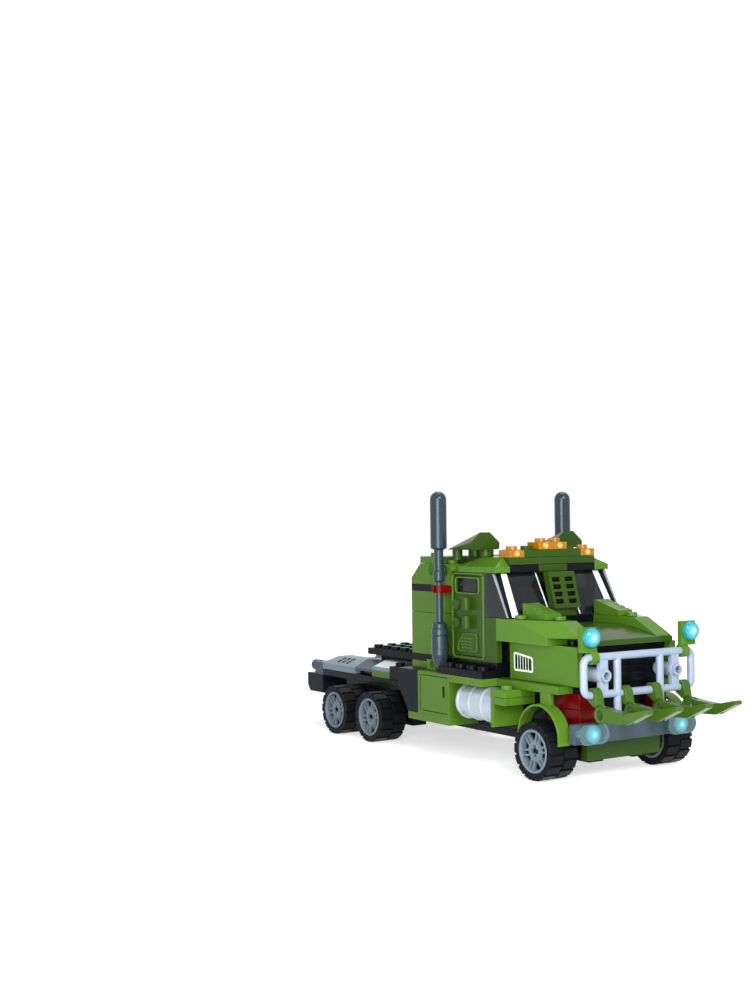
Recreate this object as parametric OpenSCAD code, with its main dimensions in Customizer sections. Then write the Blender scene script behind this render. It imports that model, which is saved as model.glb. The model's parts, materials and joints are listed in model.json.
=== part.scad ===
// Building-brick tractor truck whose front grille carries four jointed claw fingers.
// Millimetres. +X is forward, +Z is up, -Y is the right-hand side.
// The origin lies on the ground under the middle of the truck.

/* [Brick system] */
// Distance from one stud to the next
pitch = 8; // [7.9:0.05:8.2]
// Height of one plate
plate_h = 3.2; // [3.1:0.05:3.3]
// Diameter of a stud
stud_d = 4.8; // [4.6:0.05:5]
// Height of a stud
stud_h = 1.7; // [1.5:0.05:1.9]
// Wall of a hollow brick
wall = 1.5; // [1.2:0.05:1.55]
// Top skin of a hollow brick
skin = 1.2; // [1:0.05:1.4]
// Diameter of a clip bar
bar_d = 3.18; // [3:0.02:3.3]

/* [Fits] */
// Radial play of a pin, bar or axle in its hole
fit = 0.05; // [0.02:0.01:0.1]
// Gap that a moving piece keeps from a fixed one
run_gap = 0.3; // [0.2:0.05:0.4]

/* [Wheels] */
// Diameter of a tyre over its tread
tyre_d = 24; // [23:0.25:24.5]
// Width of a tyre
tyre_w = 14; // [13:0.25:15]
// Distance of a tyre's inner wall from the middle of the truck
tyre_in = 25; // [24.6:0.1:25.8]
// Depth of the tread grooves
tread_depth = 0.9; // [0.6:0.1:1.2]
// Number of tread lugs in one row
tread_lugs = 15; // [10:1:18]
// Outside diameter of a rim
rim_d = 18; // [17:0.25:19]
// Wall of a rim
rim_wall = 1.2; // [0.8:0.1:1.6]
// Diameter of a rim's hub
hub_d = 7; // [6.4:0.1:8]
// Number of paired spokes
spoke_pairs = 6; // [4:1:7]
// Width of one spoke
spoke_w = 0.8; // [0.6:0.05:1]
// Diameter of an axle
axle_d = 4.8; // [4.6:0.05:4.9]
// Height of an axle hole above the bottom of its brick
hole_h = 5.8; // [5.6:0.05:6]
// Distance from the front axle to the middle axle
wheelbase = 124; // [122:0.5:126]
// Distance between the two rear axles
bogie = 32; // [30:0.5:33]

/* [Fenders] */
// Inner radius of a fender arch
arch_r = 12.2; // [12:0.05:12.6]
// Thickness of a fender arch
arch_t = 1; // [0.8:0.1:1.4]
// Width of a fender arch
arch_w = 6; // [4:0.5:7]

/* [Exhaust stacks] */
// Height of the stack tops above the ground
stack_top = 118.8; // [112:0.2:128]
// Diameter of the upper pipe
pipe_d = 7.4; // [6.4:0.1:7.6]
// Diameter of the silencer
silencer_d = 7.6; // [6.8:0.1:7.8]

/* [Doors] */
// Thickness of a door leaf
leaf_t = 2; // [1.6:0.1:2.2]
// Diameter of a door's hinge pins
pin_d = 1.2; // [1:0.05:1.3]
// Length of a door's hinge pins
pin_l = 1; // [0.8:0.1:1.2]

/* [Bull bar] */
// Half of the loop's width, to the middle of its bars
loop_half = 29.4; // [28.6:0.2:30.4]
// Bend radius of the loop's corners
loop_bend = 3; // [2.4:0.1:3.4]
// Diameter of an upper lamp's lens
lens_d = 7.5; // [6.5:0.1:8]

/* [Claw fingers] */
// Width of a finger
finger_w = 4; // [3.4:0.1:4.2]
// Outside radius of a clip or a knuckle
knuckle_r = 3.3; // [3.1:0.05:3.4]
// Length of a finger's middle piece, from knuckle to pin
finger_link = 15.2; // [14:0.2:16.4]
// Length of a finger's tip beyond its pin
finger_tip = 10.8; // [8:0.2:12]

/* [Hidden] */
$fn = 48;
e = 0.01;
sides = [-1, 1];

// Colours of the moulded plastic
green = "#5a7d35";
dark_green = "#3c5a24";
black = "#1b1e20";
slate = "#2c363c";
grey = "#7f929c";
light_grey = "#a3b4bb";
pale = "#c3cfdd";
steel = "#4c5e69";
red = "#a01212";
orange = "#f0a020";
ice = "#bfe4ee";
glass = "#9fb2ba";

// Truck frame: x is 0 at the front axle, in studs; z is a level, in plates above the axle bricks
axle_z = tyre_d / 2;
base_z = axle_z - hole_h;
function px(studs) = studs * pitch;
function lv(plates) = base_z + plates * plate_h;

// Claw pivots, in the truck frame
bar_x = px(2.625);
low_z = lv(9) + 0.7;
high_z = lv(14) - 0.4;
knuckle_x = bar_x + 5.2;
knuckle_z = low_z - 7.3;
pin_x = knuckle_x + finger_link;
tip_x = pin_x + finger_tip;
straight = loop_half - loop_bend;
outer_y = straight - finger_w / 2 - 0.4;
finger_y = [-outer_y, px(-1), px(1), outer_y];

// The whole truck reaches from the rear flaps to the claw tips
rear_x = px(-26);
mid_x = (rear_x + tip_x) / 2;
module at_frame() { translate([-mid_x, 0, 0]) children(); }

// ---------- shapes that repeat ----------

// A box from x0 to x1, y0 to y1 and z0 to z1
module box(x0, x1, y0, y1, z0, z1) {
    translate([x0, y0, z0]) cube([x1 - x0, y1 - y0, z1 - z0]);
}

// The same box on the right-hand and the left-hand side, y given as distances from the middle
module box_pair(x0, x1, y0, y1, z0, z1) {
    for (s = sides) box(x0, x1, min(s * y0, s * y1), max(s * y0, s * y1), z0, z1);
}

// A stud on a level
module stud(x, y, z) { translate([x, y, z - e]) cylinder(d = stud_d, h = stud_h + e); }

// A grid of studs over a brick's top
module studs(x0, y0, nx, ny, z) {
    for (i = [0 : nx - 1], j = [0 : ny - 1]) stud(x0 + px(i + 0.5), y0 + px(j + 0.5), z);
}

// A brick that is open below, from level k, nx by ny studs and nk plates high
module brick(x0, y0, k, nx, ny, nk) {
    difference() {
        box(x0, x0 + px(nx), y0, y0 + px(ny), lv(k), lv(k + nk));
        box(x0 + wall, x0 + px(nx) - wall, y0 + wall, y0 + px(ny) - wall, lv(k) - e, lv(k + nk) - skin);
    }
}

// The gripping tubes under a plate, one in the middle of each four studs
module tubes(x0, y0, k, nx, ny) {
    tube_d = pitch * sqrt(2) - stud_d;
    difference() {
        for (i = [1 : nx - 1], j = [1 : ny - 1])
            rod_z([x0 + px(i), y0 + px(j), lv(k)], tube_d, plate_h - skin + e);
        for (i = [1 : nx - 1], j = [1 : ny - 1])
            rod_z([x0 + px(i), y0 + px(j), lv(k) - e], stud_d, plate_h - skin);
    }
}

// The same brick on both sides, ny studs wide and starting y0 studs from the middle
module brick_pair(x0, y0, k, nx, ny, nk) {
    for (s = sides) brick(x0, s > 0 ? px(y0) : -px(y0 + ny), k, nx, ny, nk);
}

// Studs on both sides
module stud_pair(x0, y0, nx, ny, z) {
    for (s = sides) studs(x0, s > 0 ? px(y0) : -px(y0 + ny), nx, ny, z);
}

// A side view outline in x and z, made w wide and centred on y
module side_cut(y, w) { translate([0, y + w / 2, 0]) rotate([90, 0, 0]) linear_extrude(w) children(); }

// A front view outline in y and z, running from x0 to x1
module front_cut(x0, x1) {
    translate([x0, 0, 0]) rotate([90, 0, 90]) linear_extrude(x1 - x0) children();
}

// A round rod from point a towards +X, +Y or +Z
module rod_x(a, d, l) { translate(a) rotate([0, 90, 0]) cylinder(d = d, h = l); }
module rod_y(a, d, l) { translate(a) rotate([-90, 0, 0]) cylinder(d = d, h = l); }
module rod_z(a, d, l) { translate(a) cylinder(d = d, h = l); }

// Flat link between two round ends, as one outline with tangent sides
module link_2d(a, ra, b, rb) {
    run = b - a;
    heading = atan2(run.y, run.x);
    lean = acos((ra - rb) / norm(run));
    function rim(c, r, turn) = c + r * [cos(heading + turn), sin(heading + turn)];
    translate(a) circle(r = ra);
    translate(b) circle(r = rb);
    polygon([rim(a, ra, lean), rim(a, ra, -lean), rim(b, rb, -lean), rim(b, rb, lean)]);
}

// ---------- wheels ----------

// Half of a groove-cut tread, as one row of lugs turned by a phase
module tread_row(phase) {
    groove_w = PI * tyre_d / tread_lugs / 4;
    linear_extrude(tyre_w / 2) difference() {
        circle(d = tyre_d, $fn = 96);
        circle(d = rim_d + 2 * fit, $fn = 96);
        for (i = [0 : tread_lugs - 1])
            rotate(phase + i * 360 / tread_lugs)
                translate([tyre_d / 2 - tread_depth, -groove_w / 2])
                    square([2 * tread_depth, groove_w]);
    }
}

// A tyre whose two rows of lugs are staggered, lying along +Z from 0
module tyre() {
    tread_row(0);
    translate([0, 0, tyre_w / 2 - e]) tread_row(180 / tread_lugs);
}

// A pair of tyres on one axle
module tyre_pair(x) {
    color(black) for (s = sides)
        translate([x, s * tyre_in, axle_z]) rotate([s > 0 ? -90 : 90, 0, 0]) tyre();
}

// A rim lying along +Z from 0: barrel, hub, back web and paired spokes
module rim() {
    spoke_l = rim_d / 2 - rim_wall - hub_d / 2;
    inner_d = rim_d - 2 * rim_wall;
    difference() {
        union() {
            difference() {
                cylinder(d = rim_d, h = tyre_w);
                translate([0, 0, -e]) cylinder(d = inner_d, h = tyre_w + 2 * e);
            }
            cylinder(d = hub_d, h = tyre_w - 1.2);
            translate([0, 0, tyre_w / 2]) cylinder(d = inner_d + e, h = 1);
            for (i = [0 : spoke_pairs - 1], side = sides)
                rotate(i * 360 / spoke_pairs)
                    translate([hub_d / 2 - 0.4, side * 1.1 - spoke_w / 2, tyre_w - 3])
                        cube([spoke_l + 0.8, spoke_w, 1.6]);
        }
        translate([0, 0, -e]) cylinder(d = axle_d + 2 * fit, h = tyre_w + 2 * e);
    }
}

// An axle with a rim at each end
module wheel_set(x) {
    axle_half = tyre_in + tyre_w - 2.4;
    color(black) rod_y([x, -axle_half, axle_z], axle_d, 2 * axle_half);
    color(grey) for (s = sides)
        translate([x, s * tyre_in, axle_z]) rotate([s > 0 ? -90 : 90, 0, 0]) rim();
}

module front_wheels() { at_frame() wheel_set(0); }
module mid_wheels() { at_frame() wheel_set(-wheelbase); }
module rear_wheels() { at_frame() wheel_set(-wheelbase - bogie); }
module front_tyres() { at_frame() tyre_pair(0); }
module mid_tyres() { at_frame() tyre_pair(-wheelbase); }
module rear_tyres() { at_frame() tyre_pair(-wheelbase - bogie); }

// ---------- chassis ----------

// Beams with the axle holes, one at each side of the middle
module axle_beams(x0, x1, holes) {
    difference() {
        box_pair(x0, x1, px(1), px(2), lv(0), lv(3));
        for (x = holes) rod_y([x, -px(3), axle_z], axle_d + 2 * fit, px(6));
    }
}

module axle_bricks() {
    rear_axle = -wheelbase - bogie;
    at_frame() color(black) {
        axle_beams(-px(1), px(1), [0]);
        axle_beams(rear_axle - px(0.5), -wheelbase + px(0.5), [rear_axle : px(1) : -wheelbase + e]);
    }
}

// Step in the frame ahead of the middle axle, and the studs behind and ahead of it
step_x = px(1.5) - wheelbase;
rear_studs = step_x / pitch + 21;
mid_studs = -2 - step_x / pitch;

module frame_plate() {
    at_frame() color(black) {
        brick(px(-21), px(-3), 3, rear_studs, 6, 1);
        tubes(px(-21), px(-3), 3, rear_studs, 6);
        box(step_x, px(-2), -px(3), px(3), lv(3), lv(4));
        brick(px(-2), px(-3), 3, 3, 6, 1);
        tubes(px(-2), px(-3), 3, 3, 6);
        brick(step_x, px(-3), 2, mid_studs, 6, 1);
        tubes(step_x, px(-3), 2, mid_studs, 6);
    }
}

module frame_bricks() {
    at_frame() color(black) {
        brick(px(-21), px(-3), 4, rear_studs, 6, 2);
        brick(step_x, px(-3), 4, -12 - step_x / pitch, 6, 5);
        brick(px(-12), px(-3), 4, 8, 6, 6);
        brick(px(-4), px(-3), 4, 3, 6, 5);
        brick(px(-1), px(-3), 4, 2, 6, 1);
        brick(px(-1), px(-2), 5, 2, 4, 4);
    }
}

// Thin front block under the bumper and the riser that the bumper is pressed on
module nose_block() {
    at_frame() color(dark_green) {
        box(px(1), px(1.5), -px(2.5), px(2.5), lv(0) + wall, lv(3));
        box(px(1), bumper_x, -px(3), px(3), lv(3), lv(5));
    }
}

// Dark walls behind the toolboxes, and the two blocks at the tail whose rear faces taper
module mud_guards() {
    wall_foot = px(-11);
    flap_taper = 2.4;
    at_frame() color(slate) for (s = sides) {
        side_cut(s * px(4), px(2)) polygon([
            [px(-10), lv(4)], [wall_foot, lv(4)], [px(-12), lv(8) - plate_h / 2],
            [px(-12), lv(10)], [px(-10), lv(10)]
        ]);
        side_cut(s * px(2), px(2)) polygon([
            [rear_x + flap_taper, lv(3)], [px(-24), lv(3)], [px(-24), lv(6)],
            [rear_x, lv(6)], [rear_x, lv(3) + plate_h]
        ]);
    }
}

// ---------- rear deck ----------

module deck_plates() {
    at_frame() {
        color(black) {
            brick(px(-24), px(-3), 6, 10, 6, 1);
            box(rear_x, px(-24), -px(1), px(1), lv(6), lv(7));
            brick_pair(px(-16), 1, 7, 2, 2, 2);
            stud_pair(px(-16), 2, 2, 1, lv(9));
            box(px(-14), px(-12), -px(3), px(3), lv(9), lv(10));
            stud_pair(px(-14), 2, 2, 1, lv(10));
        }
        color(green) {
            brick_pair(px(-18), 1, 7, 2, 2, 1);
            for (s = sides) bracket_plate(s);
        }
    }
}

// Green bracket beside the sleeper's foot, with an upright ear that has a pin hole
module bracket_plate(s) {
    ear_x = px(-9.5);
    ear_y = s > 0 ? px(4) : -px(4) - wall * 2;
    box(px(-12), px(-8), min(s * px(3), s * px(4)), max(s * px(3), s * px(4)), lv(10), lv(11));
    difference() {
        box(ear_x - px(0.5), ear_x + px(0.5), ear_y, ear_y + wall * 2, lv(10), lv(11) + plate_h / 2);
        rod_y([ear_x, ear_y - e, lv(10) + 2.6], bar_d, wall * 2 + 2 * e);
    }
}

// A deck slope: a low lip at the outer edge rising to a flat ridge one stud further in
module deck_slope(x0, x1, s, lip_z, ridge_z, z0, hip) {
    outer = s * px(3);
    ridge = s * px(2);
    inner = s * px(1);
    hull() {
        box(x0, x1, min(outer, inner), max(outer, inner), z0, lip_z);
        box(x0 + hip, x1, min(ridge, inner), max(ridge, inner), z0, ridge_z);
    }
}

module deck_slopes() {
    slot_w = 1.6;
    at_frame() for (s = sides) {
        color(light_grey) difference() {
            deck_slope(px(-24), px(-20), s, lv(8), lv(9), lv(7), 3.2);
            for (i = [0 : 2])
                translate([px(-22) + (i - 1) * 4.4, s * px(2.5), lv(8)])
                    cube([slot_w, px(0.5), plate_h], center = true);
        }
        color(grey) deck_slope(px(-20), px(-18), s, lv(8) - e, lv(9) + 0.8, lv(8) - skin, 0);
        color(black) box(px(-20), px(-18), min(s * px(1), s * px(2.6)), max(s * px(1), s * px(2.6)),
            lv(7), lv(8) - skin + e);
        color(light_grey) deck_slope(px(-18), px(-16), s, lv(8) + wall, lv(9) + wall, lv(8), 0);
        color(grey) tail_brick(s);
    }
}

// Grey block at the tail with a round peg that points to the rear
module tail_brick(s) {
    peg_l = 6;
    box(px(-25), px(-24), min(s * px(1), s * px(3)), max(s * px(1), s * px(3)), lv(6), lv(8));
    rod_x([px(-25) - peg_l, s * px(2.5), lv(7) + 0.8], stud_d + 0.8, peg_l + e);
}

// Studded plate that a trailer couples to, and the bricks that carry it
module coupling_plate() {
    at_frame() color(slate) {
        box(px(-20), px(-14), -px(1), px(1), lv(7), lv(10));
        box(px(-20), px(-12), -px(2), px(2), lv(10), lv(11));
        studs(px(-20), -px(2), 8, 4, lv(11));
    }
}

// ---------- side boxes and barrels ----------

// Door opening of a toolbox, and the hinge axis of its leaf
box_y = px(5);
box_jamb = wall;
tool_hinge_x = px(-10) + box_jamb + leaf_t / 2 + run_gap;
tool_end_x = px(-7) - box_jamb;
tool_low = lv(4) + wall;
tool_high = lv(10) - wall;

module toolboxes() {
    at_frame() color(green) for (s = sides) mirror([0, s > 0 ? 1 : 0, 0]) difference() {
        box(px(-10), px(-7), -box_y, -px(3), lv(4), lv(10));
        box(px(-10) + box_jamb, tool_end_x, -box_y - e, -px(3) - wall, tool_low, tool_high);
        pin_holes(tool_hinge_x, -box_y + leaf_t / 2, tool_low, tool_high);
    }
}

// Blind holes above and below a door opening for the hinge pins
module pin_holes(x, y, z0, z1) {
    rod_z([x, y, z0 - pin_l], pin_d + 2 * fit, z1 - z0 + 2 * pin_l);
}

// A door leaf, its round hinge edge and its two pins, hinged at x0 and ending at x1
module leaf(x0, x1, y, z0, z1) {
    low = z0 + run_gap;
    high = z1 - run_gap;
    axis_y = y + leaf_t / 2;
    rod_z([x0, axis_y, low], leaf_t, high - low);
    box(min(x0, x1), max(x0, x1), y, y + leaf_t, low, high);
    rod_z([x0, axis_y, z0 - pin_l + run_gap / 2], pin_d, z1 - z0 + 2 * pin_l - run_gap);
}

// A toolbox door with a grip slot near its free edge
module toolbox_door(s) {
    grip_z = (tool_low + tool_high) / 2;
    at_frame() color(green) mirror([0, s > 0 ? 1 : 0, 0]) difference() {
        leaf(tool_hinge_x, tool_end_x - run_gap, -box_y, tool_low, tool_high);
        box(tool_end_x - 3.6, tool_end_x - 1.8, -box_y - e, -box_y + 1, grip_z - 1, grip_z + 4);
    }
}

module toolbox_door_r() { toolbox_door(-1); }
module toolbox_door_l() { toolbox_door(1); }

// Black studded steps along the cab's foot
module side_steps() {
    at_frame() color(black) {
        box_pair(px(-8), px(-4), px(3), px(5), lv(10), lv(11));
        stud_pair(px(-8), 4, 4, 1, lv(11));
    }
}

// Plates under the toolboxes and over the barrels
module sill_plates() {
    at_frame() color(green) {
        box_pair(px(-11), px(-7), px(3), px(5), lv(3), lv(4));
        box_pair(px(-7), px(-4), px(3), px(5), lv(9), lv(10));
    }
}

// Barrel: ends, two ridges and the pegs that hold it between toolbox and bracket
barrel_z = (lv(4) + lv(9)) / 2;
barrel_r = (lv(9) - lv(4)) / 2 - 0.1;
barrel_x0 = px(-6.4);
barrel_x1 = px(-3) - 2;

module barrels() {
    ridge_t = 1;
    sink = 0.5;
    len = barrel_x1 - barrel_x0;
    at_frame() color(pale) for (s = sides) {
        translate([barrel_x0, s * px(4), barrel_z]) rotate([0, 90, 0]) rotate_extrude($fn = 64)
            polygon([
                [0, 1.2], [barrel_r - 1.6, 1.2], [barrel_r - 1.2, 0], [barrel_r, 0],
                [barrel_r, ridge_t], [barrel_r - sink, ridge_t + sink],
                [barrel_r - sink, len / 3 - ridge_t], [barrel_r, len / 3],
                [barrel_r - sink, len / 3 + ridge_t],
                [barrel_r - sink, 2 * len / 3 - ridge_t], [barrel_r, 2 * len / 3],
                [barrel_r - sink, 2 * len / 3 + ridge_t],
                [barrel_r - sink, len - ridge_t - sink], [barrel_r, len - ridge_t], [barrel_r, len],
                [0, len]
            ]);
        rod_x([px(-7), s * px(4), barrel_z], stud_d, barrel_x0 - px(-7) + 1.2 + e);
    }
}

module barrel_brackets() {
    at_frame() color(green) {
        box_pair(px(-3) - 2, px(-3), px(3), px(5), lv(4), lv(9));
        box_pair(px(-3), px(-2), px(3), px(5), lv(7), lv(9));
        stud_pair(px(-3), 4, 1, 1, lv(9));
    }
}

// ---------- cab ----------

cab_y = px(4);
cab_foot = lv(12);
sill_z = lv(18);
cab_top = lv(24);

module cab_floor() {
    at_frame() color(black) {
        brick(px(-12), -px(3), 10, 8, 6, 1);
        box(px(-12), px(-4), -cab_y, cab_y, lv(11), cab_foot);
    }
}

// Sleeper: two courses of wall round an open inside
module sleeper_course(z0, z1) {
    difference() {
        box(px(-12), px(-9), -cab_y, cab_y, z0, z1);
        box(px(-11), px(-9) + e, -px(3), px(3), z0 - e, z1 + e);
    }
    box_pair(px(-9), px(-8), px(3), px(3.5), z0, z1);
}

module sleeper_walls() {
    strip_x = px(-9) + 0.4;
    at_frame() color(green) {
        sleeper_course(cab_foot, sill_z);
        sleeper_course(sill_z, lv(21));
        box_pair(strip_x, strip_x + 1.9, px(3.5), cab_y, lv(15) + wall, lv(21));
    }
}

// Sleeper roof with its hipped rear edge and the pin holes in its sides
module sleeper_roof() {
    hole_x = [px(-10), px(-8.6)];
    hole_z = lv(24) + 0.3;
    at_frame() color(green) {
        difference() {
            side_cut(0, 2 * cab_y) polygon([
                [px(-12), lv(22)], [px(-12), lv(23) - 0.4], [px(-11) - 0.6, lv(25)],
                [px(-11) - 0.6, lv(26)], [px(-9), lv(26)], [px(-9), lv(25)], [px(-8), lv(25)],
                [px(-8), lv(22)]
            ]);
            box(px(-11) + wall, px(-9) - wall, -px(3), px(3), lv(22) - e, lv(25) - skin);
            for (x = hole_x, s = sides)
                rod_y([x, s * cab_y - wall, hole_z], axle_d, 2 * wall);
        }
        stud_pair(px(-11) + 2.4, 3, 1, 1, lv(26));
        stud_pair(px(-9), 3, 1, 1, lv(25));
    }
}

// Red bricks behind the bumper and the red clip plates that hold the stacks
stack_x = px(-8.5);
stack_y = px(4.5);

module red_bricks() {
    clip_r = bar_d / 2 + 1.2;
    at_frame() color(red) {
        box_pair(-px(1), px(1.5), px(2), px(3), lv(5), lv(9));
        box_pair(px(-10), px(-8), px(2), cab_y, lv(21), lv(22));
        difference() {
            for (s = sides) {
                rod_z([stack_x, s * stack_y, lv(21)], 2 * clip_r, plate_h);
                box(stack_x - clip_r, stack_x + clip_r, min(s * cab_y, s * stack_y),
                    max(s * cab_y, s * stack_y), lv(21), lv(22));
            }
            for (s = sides) {
                rod_z([stack_x, s * stack_y, lv(21) - e], bar_d + 2 * fit, plate_h + 2 * e);
                box(stack_x - bar_d / 3, stack_x + bar_d / 3, min(s * stack_y, s * px(5)),
                    max(s * stack_y, s * px(5)), lv(21) - e, lv(22) + e);
            }
        }
    }
}

// Door openings in the frames: hinge at the front edge
jamb = wall;
door_x0 = px(-8) + jamb;
door_x1 = px(-5) - jamb;
door_low = cab_foot + jamb;
door_high = cab_top - jamb;
door_hinge_x = door_x1 - leaf_t / 2 - run_gap;

module door_frames() {
    at_frame() color(green) {
        for (s = sides) mirror([0, s > 0 ? 1 : 0, 0]) difference() {
            box(px(-8), px(-5), -cab_y, -px(3.25), cab_foot, cab_top);
            box(door_x0, door_x1, -cab_y - e, -px(3.25) + e, door_low, door_high);
            pin_holes(door_hinge_x, -cab_y + leaf_t / 2, door_low, door_high);
        }
        box_pair(px(-5), px(-4), cab_y - plate_h, cab_y, cab_foot, sill_z);
    }
}

// Cab door: window in its upper third, two studs, two tubes and a raised lower panel
module cab_door(s) {
    glass_low = lv(21) + 0.6;
    glass_high = door_high - run_gap - 1;
    stud_x = door_x0 + 3.2;
    tube_x = door_x0 + 11.4;
    at_frame() color(green) mirror([0, s > 0 ? 1 : 0, 0]) {
        difference() {
            leaf(door_hinge_x, door_x0 + run_gap, -cab_y, door_low, door_high);
            box(door_x0 + 2, door_hinge_x - 1.4, -cab_y - e, -cab_y + leaf_t + e, glass_low, glass_high);
        }
        for (z = [lv(17), lv(19) + 1.6]) {
            rod_y([stud_x, -cab_y - stud_h, z], stud_d, stud_h + e);
            rod_z([tube_x, -cab_y - 1.6, z - 2.2], 4, 5.6);
        }
        box(door_x0 + 2.8, door_hinge_x - 2.6, -cab_y - 0.4, -cab_y + e, door_low + 1.6, lv(15) + 2.2);
    }
}

module cab_door_r() { cab_door(-1); }
module cab_door_l() { cab_door(1); }

// Bench seat for two small figures
module seat() {
    at_frame() color(slate) {
        box(px(-8), px(-6), -px(2), px(2), cab_foot, lv(14));
        box(px(-8), px(-8) + 2.4, -px(2), px(2), lv(14), lv(18));
        studs(px(-7), -px(2), 1, 4, lv(14));
    }
}

// Windscreens: a slanted pane with a side pane, from the cowl to the visor
pane_foot = px(-3);
pane_head = px(-4.3);
pane_t = 1.5;
pane_lean = (pane_foot - pane_head) / (cab_top - sill_z);

module windscreens() {
    at_frame() color(glass, 0.5) for (s = sides) mirror([0, s > 0 ? 1 : 0, 0]) difference() {
        side_cut(-px(2.5), px(3)) polygon([
            [px(-5), sill_z], [pane_foot, sill_z], [pane_head, cab_top], [px(-5), cab_top]
        ]);
        side_cut(-px(2.5) + pane_t, px(3)) polygon([
            [px(-5) - e, sill_z - e], [pane_foot - pane_t * 1.2, sill_z - e],
            [pane_head - pane_t * 1.2, cab_top + e], [px(-5) - e, cab_top + e]
        ]);
    }
}

// Louvred panel between the windscreens, steeper than they are
module vent_panel() {
    foot_z = lv(19) + 0.4;
    foot_x = px(-2.8);
    head_x = px(-3.35);
    panel_t = 3.6;
    half_w = 7.3;
    slots = 4;
    slot_step = 3.15;
    slot_h = 2;
    slot_w = 4.6;
    slot_y = 3.6;
    slot_d = 2.2;
    at_frame() color(green) difference() {
        union() {
            side_cut(0, 2 * half_w) polygon([
                [foot_x, foot_z], [head_x, cab_top], [head_x - panel_t, cab_top],
                [foot_x - panel_t, foot_z]
            ]);
            box(foot_x - px(1), foot_x - panel_t + 1, -half_w, half_w, sill_z, foot_z + 2);
        }
        for (side = sides, i = [0 : slots - 1]) {
            z = foot_z + 1.8 + i * slot_step;
            x = foot_x + (head_x - foot_x) * (z - foot_z) / (cab_top - foot_z);
            box(x - slot_d, x + 2, side * slot_y - slot_w / 2, side * slot_y + slot_w / 2, z,
                z + slot_h);
        }
    }
}

// Visor and roof: a green course over the door frames and a small plate on top
module visor() {
    at_frame() color(green) {
        box(px(-5), px(-4), -px(1), px(1), cab_top, lv(25));
        box(px(-8), px(-4), -px(3), px(3), lv(25), lv(26));
        box(px(-6), px(-4), -px(2), px(2), lv(26), lv(27));
        studs(px(-5), -px(2), 1, 1, lv(27));
        studs(px(-5), px(1), 1, 1, lv(27));
        box_pair(px(-8), px(-5), px(2), px(3), cab_top, lv(25));
    }
}

// Black bricks: inserts in the visor and the rear half of the sleeper's band
module trim_bricks() {
    at_frame() color(black) {
        box_pair(px(-5), px(-4), px(1), px(3), cab_top, lv(25));
        difference() {
            box(px(-12), px(-10), -cab_y, cab_y, lv(21), lv(22));
            box(px(-11), px(-10) + e, -px(3), px(3), lv(21) - e, lv(22) + e);
        }
    }
}

module roof_corners() {
    rear = px(-7.4);
    at_frame() color(green) for (s = sides) hull() {
        box(rear, px(-4), min(s * px(3), s * cab_y), max(s * px(3), s * cab_y), cab_top, lv(25) - 0.8);
        box(rear + px(1), px(-4.6), min(s * px(3), s * px(3.05)), max(s * px(3), s * px(3.05)),
            cab_top, lv(26));
    }
}

// Orange lamps: one-stud lenses at the sides, a two-stud lens in the middle
module roof_lamps() {
    at_frame() color(orange) {
        box_pair(px(-5), px(-4), px(2), px(3), lv(26), lv(27));
        stud_pair(px(-5), 2, 1, 1, lv(27));
        box(px(-5), px(-4), -px(1), px(1), lv(27), lv(28));
        studs(px(-5), -px(1), 1, 2, lv(28));
    }
}

// Fairings on the roof: six-sided front faces that run down to the rear, on round feet
module roof_fairings() {
    front = px(-6.2);
    rear = px(-8.4);
    foot = lv(27);
    top = lv(29) + 1.3;
    half_top = 2.7;
    at_frame() for (s = sides) translate([0, s * px(3), 0]) {
        color(dark_green) hull() {
            front_cut(front - e, front) polygon([
                [-px(1), foot + 0.8], [-px(1) + 1, foot], [px(1) - 1, foot], [px(1), foot + 0.8],
                [px(1), lv(28)], [half_top, top], [-half_top, top], [-px(1), lv(28)]
            ]);
            front_cut(rear, rear + e) polygon([
                [-px(1), foot], [px(1), foot], [px(0.5), foot + 1.4], [-px(0.5), foot + 1.4]
            ]);
        }
        color(green) for (x = [px(-6.75), px(-7.75)])
            rod_z([x, -s * px(0.5), lv(26)], 6.6, plate_h);
        color(green) rod_z([px(-8.1), s * px(0.5), lv(25) + stud_h], 4.6, lv(27) - lv(25) - stud_h);
    }
}

// ---------- hood ----------

hood_y = px(3);
panel_y = hood_y + plate_h;
hood_top_z = lv(15);
crease_x = px(-2.3);
corner_x = 1.5;

// Core under the hood: ribbed columns behind the side panels and a ribbed grille in front
module hood_core() {
    rib = 0.8;
    grille_x = px(1.5);
    ribs = 7;
    rib_step = (hood_top_z - lv(9)) / ribs;
    at_frame() color(black) {
        box(px(-4), px(1), -hood_y, hood_y, lv(10), hood_top_z);
        box(px(-4.75), px(-4), -hood_y, hood_y, cab_foot, hood_top_z);
        for (i = [0 : 2]) box_pair(px(-4.7) + i * 3, px(-4.7) + i * 3 + 1.6, hood_y - e,
            hood_y + rib, cab_foot, hood_top_z);
        box(px(1), grille_x - rib, -hood_y, hood_y, lv(9), hood_top_z);
        for (i = [0 : ribs - 1]) box(grille_x - rib - e, grille_x, -hood_y + 1, hood_y - 1,
            lv(9) + (i + 0.25) * rib_step, lv(9) + (i + 0.75) * rib_step);
        stud_pair(px(0), 2, 1, 1, hood_top_z);
    }
}

// Green plate under the hood and the smooth panels at its sides
module hood_sides() {
    panel_x0 = px(-3.6);
    panel_x1 = px(1.8);
    at_frame() color(green) {
        brick(px(-4), -px(4), 9, 5, 8, 1);
        box_pair(panel_x0, panel_x1, hood_y, panel_y, lv(10), hood_top_z);
    }
}

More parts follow.
